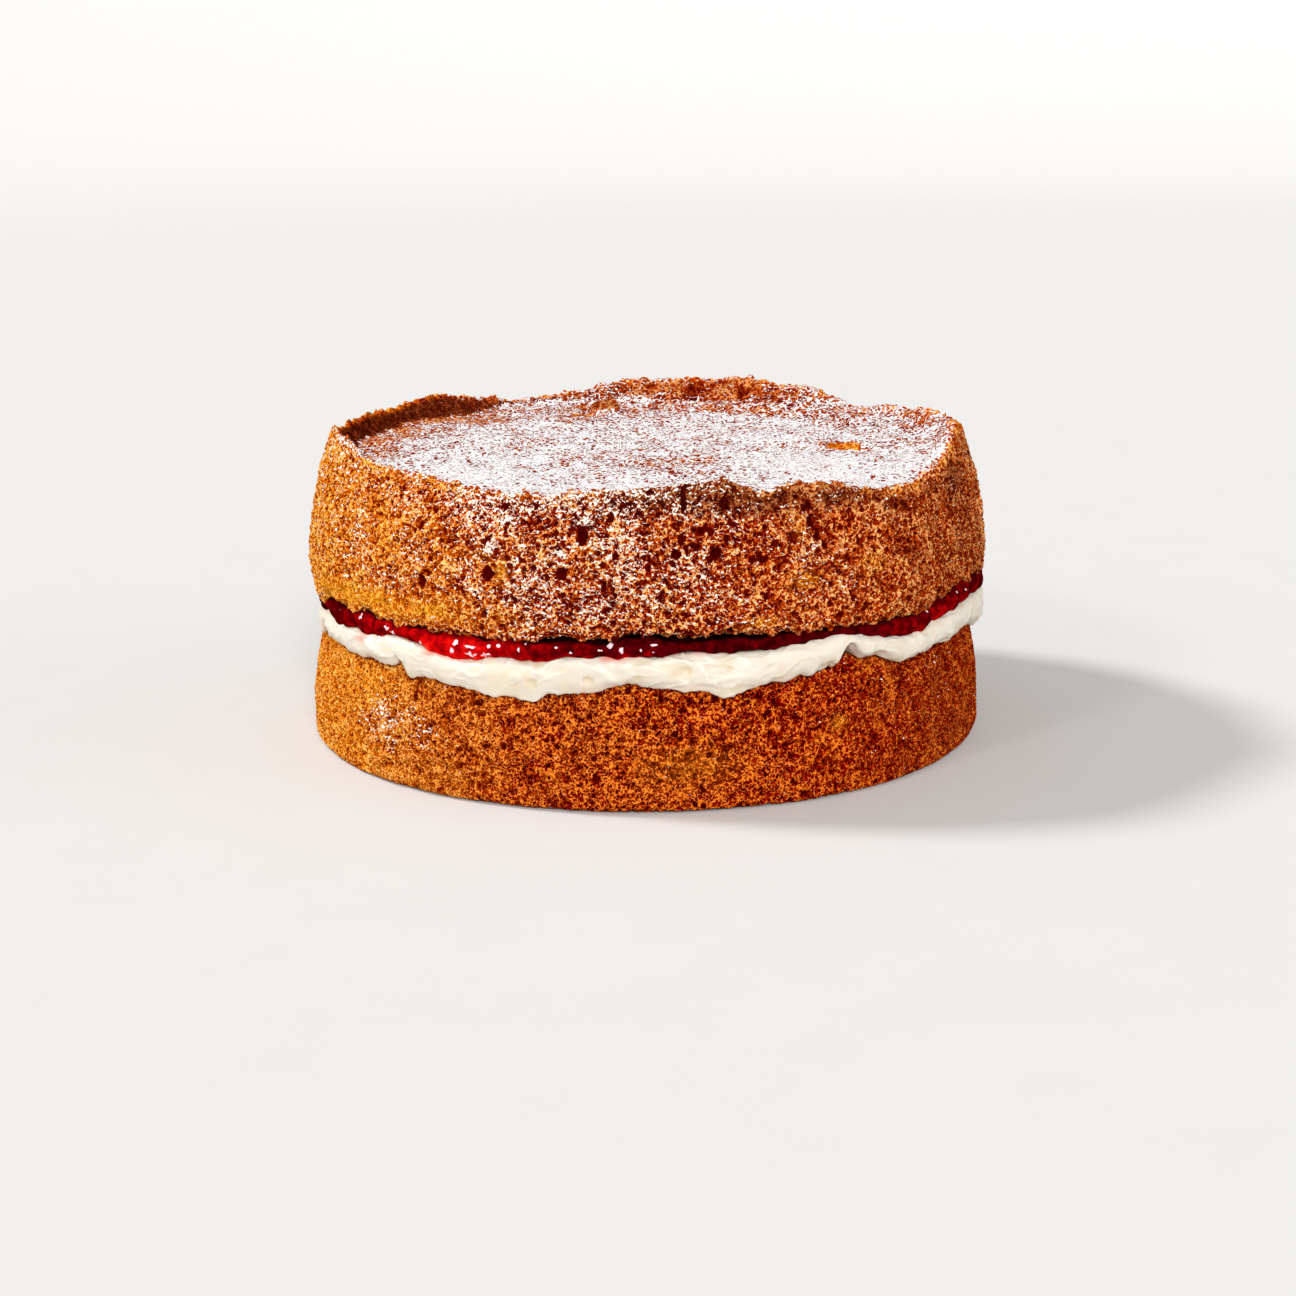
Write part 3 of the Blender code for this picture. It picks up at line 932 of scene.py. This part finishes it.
def upper_sugar(relief, pit, blotches, zones):
    """How much icing sugar lies on the upper sponge."""
    at = zones.at
    side = at.humps(SIDE_SUGAR) - 0.50 + 0.26 * blotches
    side += 0.22 * smooth_step(76.0, 82.0, at.height) * at.hump(-10.0, 28.0)
    side -= 0.12 * smooth_step(60.0, 50.0, at.height)
    side += at.spots(SUGAR_SPOTS) - at.spots(BARE_SPOTS)
    side -= 0.4 * zones.tear + 0.1 * np.clip(pit - 1.0, 0.0, 2.0)
    side -= 0.8 * smooth_step(1.8, 2.8, pit)
    side += 0.30 * smooth_step(-0.1, 0.8, ring_normals(relief)[..., 2])
    side += 0.9 * zones.crest * at.hump(-68.0, 9.0)
    streaks = Places(at.points * (1.0, 1.0, 0.2)).noise(1.8, 84) + 0.2
    side += 0.8 * streaks * at.hump(-77.0, 7.0) * smooth_step(60.0, 72.0, at.height)

    top = 0.94 + 0.50 * at.fractal(14.0, 4, 63, 0.6)
    for x, y, half_x, half_y, amount in CRUST_SUGAR:
        top += amount * np.exp(-((at.x - x) / half_x) ** 2 - ((at.y - y) / half_y) ** 2)
    top -= 0.6 * zones.slope + 0.62 * zones.left_wall + 0.62 * zones.mound
    top -= 0.70 * smooth_step(62.0, 90.0, at.radius) * at.hump(-106.0, 32.0)
    top -= 0.6 * np.abs(zones.hollows) + 1.4 * smooth_step(0.2, 1.0, zones.hollows)
    return side * zones.side + top * zones.top


def upper_bake_and_shade(blotches, zones):
    """How dark the upper sponge is: 0 golden, 1 browned, 2 crust, with painted shade on the right, the
    left inner wall and the cut edge.
    """
    at = zones.at
    side = at.humps(SIDE_BAKE_AND_SHADE) + 0.85 + 0.2 * blotches
    side += 0.65 * smooth_step(75.0, 82.0, at.height) * at.hump(4.0, 42.0)
    # Darker along the cut edge at the front: jam-stained crumb and painted shade.
    side += 0.45 * zones.cut * at.hump(-4.0, 40.0)
    # The rim's left inner wall is darker: crust colour and painted shade.
    top = 1.42 + 0.58 * zones.left_wall
    top += 0.2 * smooth_step(0.5, 2.0, -zones.hollows) - 0.8 * smooth_step(0.5, 2.0, zones.hollows)
    bake_and_shade = side * zones.side + top * zones.top
    bake_and_shade -= zones.frayed * (0.35 + 0.5 * smooth_step(-0.3, 0.4, at.noise(9.0, 82)))
    return bake_and_shade + 0.3 * zones.shoulder * zones.side * at.hump(14.0, 34.0)


def upper_looks(relief, pit, openness, zones):
    """The values that the sponge's material reads, for the upper sponge."""
    at = zones.at
    blotches = at.fractal(12.0, 2, 61)
    mottled = np.clip(0.65 + 0.7 * at.noise(4.0, 83), 0.1, 1.0)
    torn = 0.8 * zones.tear * mottled + at.spots(TORN_SPOTS) * zones.side
    torn += 0.5 * zones.frayed * smooth_step(-0.2, 0.4, at.noise(5.0, 81))
    torn += 0.9 * smooth_step(0.4, 1.6, zones.hollows)
    return {
        "pit": np.clip(pit, 0.0, 3.0),
        "open": (0.25 + 0.75 * openness) * zones.side + 0.25 * zones.top,
        "sugar": upper_sugar(relief, pit, blotches, zones),
        "bake_and_shade": np.clip(upper_bake_and_shade(blotches, zones), 0.0, 2.0),
        "torn": np.clip(torn, 0.0, 1.0),
    }


def upper_side_piece(relief, values):
    """The side of the upper sponge, closed through the crumb from its crest to its cut edge."""
    side = RingMesh()
    rings = [side.add_row(relief, values, row, 1) for row in range(CREST_ROW + 1)]
    side.creases = [rings[0], rings[-1]]
    for share, stride in WALL_BACK:
        between = relief[:, CREST_ROW] * (1.0 - share) + relief[:, 0] * share
        rings.append(side.add_ring(between[::stride], sampled(values, CREST_ROW, stride)))
    for lower, upper in zip(rings, rings[1:] + rings[:1]):
        side.join(lower, upper)
    return side.build("upper_side")


def top_crust_piece(grid, relief, values):
    """The crust on top, a lid a few mm thick, with fewer points to a ring nearer the middle."""
    crust = RingMesh()
    rings = []
    for row in range(CREST_ROW, CREST_ROW + CRUST_ROWS):
        radius = np.hypot(grid[:, row, 0], grid[:, row, 1]).mean()
        stride = 1
        while radius * stride < THINNING_RADIUS:
            stride *= 2
        rings.append(crust.add_row(relief, values, row, stride))
    for lower, upper in zip(rings, rings[1:]):
        crust.join(lower, upper)
    crust.cap(rings[-1], flip=False)
    outer = rings[0]
    for rows_in, stride in CRUST_UNDERSIDE:
        row = CREST_ROW + rows_in
        under = relief[::stride, row] - (0.0, 0.0, CRUST_THICKNESS)
        ring = crust.add_ring(under, sampled(values, row, stride))
        crust.join(ring, outer)
        outer = ring
    crust.cap(outer, flip=True)
    crust.creases = [rings[0]]
    return crust.build("top_crust")


# ---- The lower sponge ----

# Single pits of the crumb.
LOWER_PITS = (
    (1.9, 31.0, 0.7, 1.9, 2.4),
    (6.3, 30.3, 0.9, 0.9, 1.8),
    (10.3, 30.3, 1.1, 1.2, 2.0),
    (11.6, 28.6, 0.8, 0.8, 1.8),
    (17.5, 30.3, 1.2, 1.3, 2.0),
    (14.6, 28.4, 0.7, 0.8, 1.5),
    (18.7, 25.6, 1.0, 1.0, 2.0),
    (20.3, 27.4, 1.0, 0.9, 1.8),
    (21.2, 25.6, 0.8, 1.0, 1.8),
    (23.3, 23.6, 1.0, 0.7, 1.8),
    (24.4, 29.6, 0.8, 0.8, 1.6),
    (18.8, 20.2, 1.1, 1.1, 1.8),
    (6.5, 19.5, 1.1, 1.3, 1.8),
    (6.3, 22.8, 0.8, 0.9, 1.6),
    (12.5, 17.7, 1.6, 0.7, 1.8),
    (33.0, 34.2, 0.8, 1.1, 2.4),
    (22.1, 13.7, 1.0, 0.9, 1.8),
)
# Sugar that fell on the side.
LOWER_SUGAR = (
    (-46.0, 17.0, 15.0, 8.0, 0.91),
    (-47.4, 20.8, 5.0, 2.6, 0.50),
    (-40.5, 23.2, 3.0, 1.6, 0.50),
    (-36.8, 18.5, 4.0, 2.4, 0.60),
    (-53.5, 15.0, 3.6, 3.6, 0.22),
    (-36.0, 13.0, 5.0, 1.6, 0.55),
    (-44.0, 10.4, 6.0, 1.6, 0.30),
    (-62.0, 21.0, 2.6, 2.6, 0.45),
    (-31.7, 9.0, 4.0, 3.0, 0.35),
)
# Paler, broken crumb.
LOWER_TORN = (
    (-50.9, 26.0, 6.0, 4.0, 0.6),
    (-62.0, 28.0, 5.0, 7.0, 0.5),
    (30.6, 20.6, 2.4, 2.0, 0.4),
    (6.0, 13.0, 12.0, 5.0, 0.3),
    (-13.5, 33.8, 4.0, 1.4, 0.5),
)
# Where the shoulder is lumpy.
LOWER_BULGES = (-50.0, 31.0, 12.0, 4.5)
# From under the foot to past the shoulder.
LOWER_ROWS = side_rows((1.0, -1.0), 2.0 * MM, (1.0, 1.0), 3.0 * MM, 76)


def lower_side_piece():
    """The lower sponge: closer crumb, baked darker, hardly sugared."""
    grid = read_rings("lower_sponge", LOWER_ROWS)
    at = Places(grid)
    pit = np.maximum(crumb_depth(grid, np.full(grid.shape[:-1], 0.22), 500), at.pits(LOWER_PITS))
    rough = at.fractal(18.0, 3, 31, 0.6) * 0.5 + at.noise(1.1, 35) * 0.14
    rough += 0.3 * at.noise(3.4, 37) * at.hump(-60.0, 26.0)
    rough += 0.9 * np.maximum(at.noise(4.5, 36), 0.0) * at.spot(*LOWER_BULGES)
    above_foot = 0.4 + 0.6 * smooth_step(0.5, 3.0, at.height)
    depth = (pit - rough) * above_foot * shown_rows(grid)
    relief = grid - ring_normals(grid) * (depth * MM)[..., None]
    relief[..., 2] = np.maximum(relief[..., 2], 0.0)

    blotches = at.fractal(12.0, 2, 62)
    sugar = -0.84 + 0.12 * blotches + 0.30 * smooth_step(-0.1, 0.8, ring_normals(relief)[..., 2])
    values = {
        "pit": np.clip(0.85 * pit, 0.0, 2.0),
        "open": 0.25 + 0.6 * at.hump(-2.0, 34.0),
        "sugar": sugar + at.spots(LOWER_SUGAR),
        # Golden on the left, darker on the right: browner baking, and on the right also painted shade.
        "bake_and_shade": 0.9 - 0.88 * at.hump(-71.0, 36.0) + 0.45 * at.hump(60.0, 34.0) + 0.15 * blotches,
        "torn": np.clip(at.spots(LOWER_TORN), 0.0, 1.0),
    }
    return full_shell("lower_side", relief, values)


# ---- Cream and jam ----

# Round the cream's lip and up its face, and up the face of the jam.
JAM_FINE = 26
CREAM_ROWS = side_rows((0.15, -1.0), 2.0 * MM, (1.0, 1.0), 6.0 * MM, 48)
JAM_ROWS = side_rows((1.0, -1.0), 3.0 * MM, (1.0, 1.0), 3.0 * MM, JAM_FINE)
# About how far from the axis the cream's face is, in mm.
CREAM_RADIUS = 98.0
# The rows in which the lip's lowest point lies, and how far up the lip moves with it, in mm.
LIP_ROWS = slice(HIDDEN_ROWS + 4, HIDDEN_ROWS + 12)
LIP_REACH = 3.2

# Humps of the lip, in mm: how far it hangs lower or, below 0, is pushed up.
CREAM_DRIPS = (
    (-70.5, -5.0, 2.2),
    (-65.0, -0.5, 2.0),
    (-58.2, 0.6, 0.7),
    (-54.0, 0.4, 2.2),
    (-47.0, -0.3, 2.0),
    (-43.0, -3.0, 0.9),
    (-40.6, 1.6, 1.2),
    (-35.0, 0.5, 3.4),
    (-25.0, 0.6, 3.0),
    (-20.0, 0.8, 1.2),
    (-17.9, 1.9, 1.3),
    (-12.5, 0.4, 2.2),
    (-8.0, 1.4, 3.2),
    (0.0, 1.2, 3.6),
    (5.4, 0.7, 1.5),
    (8.8, -1.0, 1.6),
    (12.0, 0.8, 2.2),
    (15.5, -0.2, 2.0),
    (21.4, 0.9, 1.0),
    (24.0, -0.6, 0.8),
    (26.0, 0.6, 0.7),
    (28.3, 0.8, 0.9),
    (30.2, 2.6, 0.7),
    (32.6, -2.6, 1.3),
    (35.6, 0.9, 1.2),
    (38.8, -1.5, 1.7),
    (44.5, 0.9, 1.8),
    (51.5, 0.5, 1.4),
    (53.6, -0.5, 0.5),
    (58.5, 2.6, 2.2),
    (62.0, 1.4, 1.8),
    (66.0, 0.6, 2.0),
)
# Knife ridges: azimuth and height of both ends, half width and rise in mm. They fall off
# sharply on one side and softly on the other.
CREAM_RIDGES = (
    (-62.0, 39.0, -44.0, 35.5, 0.7, 0.40),
    (-48.6, 41.6, -47.4, 36.0, 0.8, 0.70),
    (-40.0, 38.5, -26.0, 34.0, 0.8, 0.45),
    (-30.0, 39.5, -14.0, 36.5, 0.6, 0.35),
    (-12.0, 41.5, -4.0, 36.0, 0.8, 0.45),
    (-2.5, 40.5, 4.0, 37.5, 0.8, 0.55),
    (4.0, 37.5, 6.5, 34.0, 0.8, 0.50),
    (7.6, 41.0, 9.2, 33.0, 0.9, 0.80),
    (1.0, 41.5, 7.6, 40.5, 0.7, 0.45),
    (9.0, 35.2, 15.5, 36.6, 0.8, 0.50),
    (15.5, 36.6, 18.0, 39.5, 0.8, 0.35),
    (16.0, 41.0, 30.0, 39.2, 0.6, 0.30),
    (36.0, 42.0, 52.0, 37.0, 0.8, 0.45),
    (54.0, 41.5, 66.0, 37.5, 0.7, 0.45),
    (57.0, 40.5, 58.5, 36.5, 0.6, 0.60),
)
# Swellings along the upper edge.
CREAM_SWELLS = (
    (-46.6, 42.6, 1.8, 2.0, 1.6),
    (23.0, 44.8, 6.0, 1.3, 0.9),
    (32.0, 45.6, 8.0, 1.5, 1.4),
    (41.0, 44.0, 6.0, 1.3, 0.9),
)
# Small dents.
CREAM_DENTS = (
    (-17.9, 35.3, 1.6, 1.0, 0.7),
    (-9.1, 36.6, 1.8, 1.0, 0.7),
    (12.2, 39.0, 1.0, 0.8, 0.7),
    (18.5, 38.6, 1.2, 0.8, 0.5),
    (-1.5, 37.6, 1.5, 1.0, 0.5),
    (5.6, 39.0, 1.6, 1.2, 0.6),
)
# Jam that ran into the cream.
CREAM_STAINS = (
    (-52.5, 39.4, 2.6, 1.3, 0.9),
    (-36.5, 39.6, 3.4, 1.2, 0.8),
    (-31.0, 39.0, 4.0, 1.0, 0.6),
    (-18.0, 41.0, 5.0, 0.7, 0.5),
    (-5.5, 42.2, 4.6, 1.0, 0.9),
    (9.0, 43.6, 6.0, 0.8, 0.6),
    (20.0, 43.6, 6.0, 0.6, 0.4),
)
# Glints on the jam: highlights painted into its colour, with a real glossy coat on the same spots.
PAINTED_JAM_GLINTS = (
    (-52.7, 44.8, 0.9, 0.8, 0.8),
    (-45.4, 44.2, 0.8, 0.7, 0.9),
    (-44.4, 43.2, 0.9, 0.8, 0.9),
    (-37.9, 42.4, 0.6, 0.5, 1.1),
    (-30.9, 43.6, 0.9, 0.7, 1.2),
    (-28.2, 43.1, 2.2, 0.5, 1.0),
    (-31.7, 41.6, 1.0, 0.8, 0.9),
    (-28.0, 41.3, 2.4, 0.7, 0.8),
    (-25.4, 41.4, 2.0, 0.6, 0.8),
    (-25.0, 43.7, 0.8, 0.5, 1.1),
    (-23.3, 44.0, 0.9, 0.5, 1.1),
    (-20.0, 43.5, 0.6, 0.6, 1.1),
    (-19.1, 45.0, 0.4, 0.6, 1.0),
    (-13.9, 44.6, 0.5, 0.4, 1.0),
    (-11.7, 43.7, 0.6, 0.4, 0.9),
    (-7.1, 44.4, 0.8, 0.4, 1.0),
    (-5.7, 45.6, 0.9, 0.8, 1.1),
    (-4.0, 44.6, 0.8, 0.8, 1.0),
    (-3.1, 45.2, 0.5, 0.4, 1.0),
    (-1.1, 44.6, 0.5, 0.5, 1.1),
    (0.9, 45.7, 1.4, 0.4, 0.9),
    (0.8, 44.2, 0.7, 0.4, 0.9),
    (50.0, 45.5, 0.9, 0.5, 0.9),
    (61.0, 47.4, 1.4, 0.4, 1.0),
    (64.0, 47.0, 1.0, 0.4, 0.9),
)
# Humps of the jam's lower edge, in mm, where it hangs over the cream.
JAM_DRIPS = (
    (-61.0, 1.0, 3.0),
    (-50.6, 2.6, 2.4),
    (-34.0, 1.4, 2.8),
    (-15.0, 0.6, 2.2),
)
# Humps of thinner jam, that light shines through, on the whole face and along its lower edge.
# On the face they are also painted light and shade: brighter on the lit left, darker where the sponge's
# edge shades it.
JAM_THIN_AND_PAINTED_LIGHT = (
    (-31.0, 0.48, 14.0),
    (50.0, 0.15, 16.0),
    (-51.0, 0.14, 9.0),
    (24.0, -0.09, 15.0),
)
JAM_THIN_EDGE = (
    (-4.0, 0.3, 14.0),
    (-16.0, 0.3, 4.0),
    (-4.5, 0.3, 2.5),
)
# A lump of fruit.
JAM_LUMP = (49.0, 41.5, 2.6, 1.8)


def knife_ridges(at):
    """Rise in mm of the knife ridges of the cream."""
    rise = np.zeros(at.x.shape)
    for start, start_height, end, end_height, half_width, top in CREAM_RIDGES:
        across = np.radians(at.turned(start)) * at.radius
        up = at.height - start_height
        reach = math.radians(end - start) * CREAM_RADIUS
        climb = end_height - start_height
        length = math.hypot(reach, climb)
        share = (across * (reach / length) + up * (climb / length)) / length
        bow = 0.08 * length * np.sin(np.clip(share, 0.0, 1.0) * math.pi)
        off = (across * (climb / length) - up * (reach / length) + bow) / half_width
        ends = smooth_step(-0.1, 0.25, share) * smooth_step(1.1, 0.75, share)
        rise += top * ends * np.exp(-np.where(off > 0.0, off * 0.6, off * 1.8) ** 2)
    return rise


def cream_piece():
    """The whipped cream with its torn lip, knife ridges and stains."""
    grid = read_rings("cream", CREAM_ROWS)
    at = Places(grid)
    flat = Places(grid * (1.0, 1.0, 0.0))
    shown = shown_rows(grid)
    lip = at.height[:, LIP_ROWS].min(1)[:, None]
    near_lip = bell(np.maximum(at.height - lip, 0.0), 0.0, LIP_REACH) * shown
    hang = at.humps(CREAM_DRIPS) + flat.noises((0.45, 5.0, 201), (0.3, 2.0, 202))

    stretched = Places(grid * (1.0, 1.0, 1.8))
    swell = stretched.noises((0.35, 8.0, 211), (0.14, 3.0, 212))
    creases = np.abs(noise(warped(grid, 9.0 * MM, 4.0 * MM, 213) * (1.0, 1.0, 2.0), 9.0 * MM, 214))
    swell += 0.35 * smooth_step(0.10, 0.0, creases) + 0.8 * knife_ridges(at) - at.pits(CREAM_DENTS)
    swell += at.spots(CREAM_SWELLS)
    relief = grid + ring_normals(grid) * (swell * MM * shown)[..., None]
    relief[..., 2] -= hang * near_lip * MM
    values = {
        "stain": np.clip(at.spots(CREAM_STAINS) + 0.25 * at.noise(3.0, 221) - 0.1, 0.0, 1.0),
        "hollow": -swell,
    }
    return full_shell("cream_filling", relief, values)


def jam_piece():
    """The jam: lumps that shine, bright on the left and dark in the middle and at the top, partly
    painted light and shade, with painted glints.
    """
    grid = read_rings("jam", JAM_ROWS)
    at = Places(grid)
    row = np.arange(grid.shape[1])[None, :]
    upness = np.clip((row - HIDDEN_ROWS) / JAM_FINE, 0.0, 1.0)
    lumps = at.noises((0.9, 5.0, 231), (0.45, 2.4, 232))
    lumps += 0.8 * at.spot(*JAM_LUMP) + 0.5 * np.sin(upness * math.pi)
    relief = grid + ring_normals(grid) * (lumps * MM * shown_rows(grid))[..., None]
    relief[..., 2] -= at.humps(JAM_DRIPS) * smooth_step(0.5, 0.1, upness) * MM
    # Darker towards the top, under the sponge's edge: painted shade.
    thin_and_painted_light = 0.20 + at.humps(JAM_THIN_AND_PAINTED_LIGHT) - 0.30 * smooth_step(0.6, 0.95, upness)
    thin_and_painted_light += (0.2 + at.humps(JAM_THIN_EDGE)) * smooth_step(0.45, 0.1, upness)
    # Painted glints scattered round the sides away from the front.
    painted_sparks = smooth_step(0.45, 0.8, at.noise(2.4, 241)) * (1.0 - at.hump(0.0, 70.0))
    values = {"thin_and_painted_light": thin_and_painted_light, "glint": at.spots(PAINTED_JAM_GLINTS) + 0.9 * painted_sparks * np.sin(upness * math.pi)}
    return full_shell("jam_filling", relief, values)


# ---- Crumbs ----

CRUMB_SEED = 7
CRUMB_VALUES = {"pit": 0.3, "open": 0.0, "sugar": -0.1, "bake_and_shade": 0.8, "torn": 0.1}
# Crumbs on the rim and on the cut edge: rows, count, smallest and largest radius in mm.
CRUMB_GROUPS = (
    ((CREST_ROW - 3, CREST_ROW + 3), 170, 0.2, 0.6),
    ((CUT_ROWS - 3, CUT_ROWS + 2), 110, 0.2, 0.8),
)


def scattered(rings, rows, count, chooser):
    """Places on a grid of rings, at random azimuths and random rows of a range."""
    turn = chooser.uniform(0.0, 360.0, count) / 360.0 * RINGS_ROUND
    row = chooser.integers(rows[0], rows[1], count)
    return rings[turn.astype(int) % RINGS_ROUND, row]


def add_crumb(mesh, centre, size, number):
    """Adds one lump with an uneven, cornered shape."""
    made = bmesh.ops.create_icosphere(mesh, subdivisions=2, radius=1.0)["verts"]
    shape = np.array([vertex.co for vertex in made])
    own = shape + 7.0 * number
    uneven = 1.0 + 0.45 * noise(own, 0.9, 401) + 0.2 * noise(own, 0.4, 402)
    stretch = 1.0 + 0.35 * np.array([math.sin(pace * number) for pace in (1.7, 2.9, 4.3)])
    for vertex, offset in zip(made, shape * uneven[:, None] * stretch * size):
        vertex.co = centre + offset


def crumbs_piece(rings):
    """Loose crumbs on the upper sponge, as one mesh. Places and sizes are drawn apart."""
    place_chooser = np.random.default_rng(CRUMB_SEED)
    size_chooser = np.random.default_rng(CRUMB_SEED)
    mesh = bmesh.new()
    number = 0
    for rows, count, smallest, largest in CRUMB_GROUPS:
        for centre in scattered(rings, rows, count, place_chooser):
            size = (smallest + (largest - smallest) * size_chooser.random() ** 2) * MM
            add_crumb(mesh, centre, size, number)
            number += 1
    data = bpy.data.meshes.new("loose_crumbs")
    mesh.to_mesh(data)
    mesh.free()
    data.shade_smooth()
    points = len(data.vertices)
    store_values(data, {name: np.full(points, value) for name, value in CRUMB_VALUES.items()})
    return placed("loose_crumbs", data)


# ---- Setting ----

# The floor runs from an inner radius, is flat for a while and then curves up as far as it reaches.
FLOOR_INNER = 0.0001
FLOOR_FLAT = 3.0
FLOOR_REACH = 5.0
FLOOR_CURVE = 3.0
FLOOR_STEPS = 16
FLOOR_ROUND = 128

# Distant lamps: azimuth and elevation in degrees, strength, and width in degrees.
SUNS = {
    "key": (-105.0, 43.0, 2.3, 10.0),
    "fill": (6.0, 27.0, 2.65, 19.0),
    "glint": (-45.0, 35.0, 0.4, 10.0),
    "bounce": (78.0, 18.0, 0.5, 40.0),
}
SKY_COLOUR = (0.87, 0.86, 0.83, 1)
SKY_STRENGTH = 0.48

# Sensor and lens in mm, the camera's place in metres, its dip and roll in degrees.
SENSOR = 36.0
LENS = 62.089411
CAMERA_PLACE = (0.0, -0.661147, 0.1856216)
CAMERA_DIP = 14.04
CAMERA_ROLL = -0.726


def backdrop():
    """A plain floor that rises far away, all round, into its own background."""
    rising = np.linspace(FLOOR_FLAT, FLOOR_REACH, FLOOR_STEPS + 1)
    radii = np.concatenate([[FLOOR_INNER], rising])
    heights = np.maximum(radii - FLOOR_FLAT, 0.0) ** 2 / (2.0 * FLOOR_CURVE)
    grid = turned_round(radii, heights, FLOOR_ROUND)
    mesh = RingMesh()
    rings = [mesh.add_row(grid, {}, row, 1) for row in range(len(radii))]
    for inner, outer in zip(rings, rings[1:]):
        mesh.join(outer, inner)
    floor = mesh.build("floor")
    floor.data.materials.append(floor_material())
    return floor


def sun(name, azimuth, elevation, strength, angle):
    """A distant soft lamp at an azimuth and elevation, angle degrees wide."""
    data = bpy.data.lights.new(name, "SUN")
    data.energy = strength
    data.angle = math.radians(angle)
    # A sun shines along its own -Z: tilt it back by 90 - elevation and turn it to the azimuth.
    tilt = Matrix.Rotation(math.radians(90.0 - elevation), 4, "X")
    placed(name, data).matrix_world = Matrix.Rotation(math.radians(azimuth), 4, "Z") @ tilt


def set_lights():
    """A key from the left, a fill from the front, a small glint, a weak bounce and an even sky."""
    for name, settings in SUNS.items():
        sun(name, *settings)
    world = bpy.data.worlds.new("world")
    world.use_nodes = True
    sky = world.node_tree.nodes["Background"]
    sky.inputs["Color"].default_value = SKY_COLOUR
    sky.inputs["Strength"].default_value = SKY_STRENGTH
    bpy.context.scene.world = world
    bpy.context.scene.view_settings.view_transform = "Standard"


def set_camera():
    """A long lens at the front, looking down a little, and rolled by less than a degree."""
    data = bpy.data.cameras.new("camera")
    data.sensor_width = SENSOR
    data.lens = LENS
    camera = placed("camera", data)
    aim = Euler((math.radians(90.0 - CAMERA_DIP), 0.0, 0.0)).to_matrix().to_4x4()
    roll = Matrix.Rotation(math.radians(CAMERA_ROLL), 4, "Z")
    camera.matrix_world = Matrix.Translation(CAMERA_PLACE) @ aim @ roll
    bpy.context.scene.camera = camera


def dress(piece, material, node=None):
    """Rides a piece on the cake, hides the CAD part it stands in for, and gives it its material."""
    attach(piece, "root")
    if node:
        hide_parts(node)
    piece.data.materials.append(material)


# ---- The cake ----

grid = read_rings("upper_sponge", upper_rows)
normals = ring_normals(grid)
zones = UpperZones(grid, normals)
relief, pit, openness = upper_relief(grid, normals, zones)
looks = upper_looks(relief, pit, openness, zones)

open_crumb = sponge_material("open_crumb", (1.25, 2.8, 1.5), 1.2, BROWNED, DUSTING)
sugared_crust = sponge_material("sugared_crust", (1.6, 3.4, 1.6), 1.25, BROWNED, HEAPED_SUGAR)
close_crumb = sponge_material("close_crumb", (1.0, 2.4, 1.6), 1.35, DEEP_BROWNED, DUSTING)
dress(upper_side_piece(relief, looks), open_crumb, "upper_sponge")
dress(top_crust_piece(grid, relief, looks), sugared_crust, "upper_sponge")
dress(lower_side_piece(), close_crumb, "lower_sponge")
dress(cream_piece(), cream_material(), "cream")
dress(jam_piece(), jam_material(), "jam")
dress(crumbs_piece(relief), open_crumb)

backdrop()
set_lights()
set_camera()
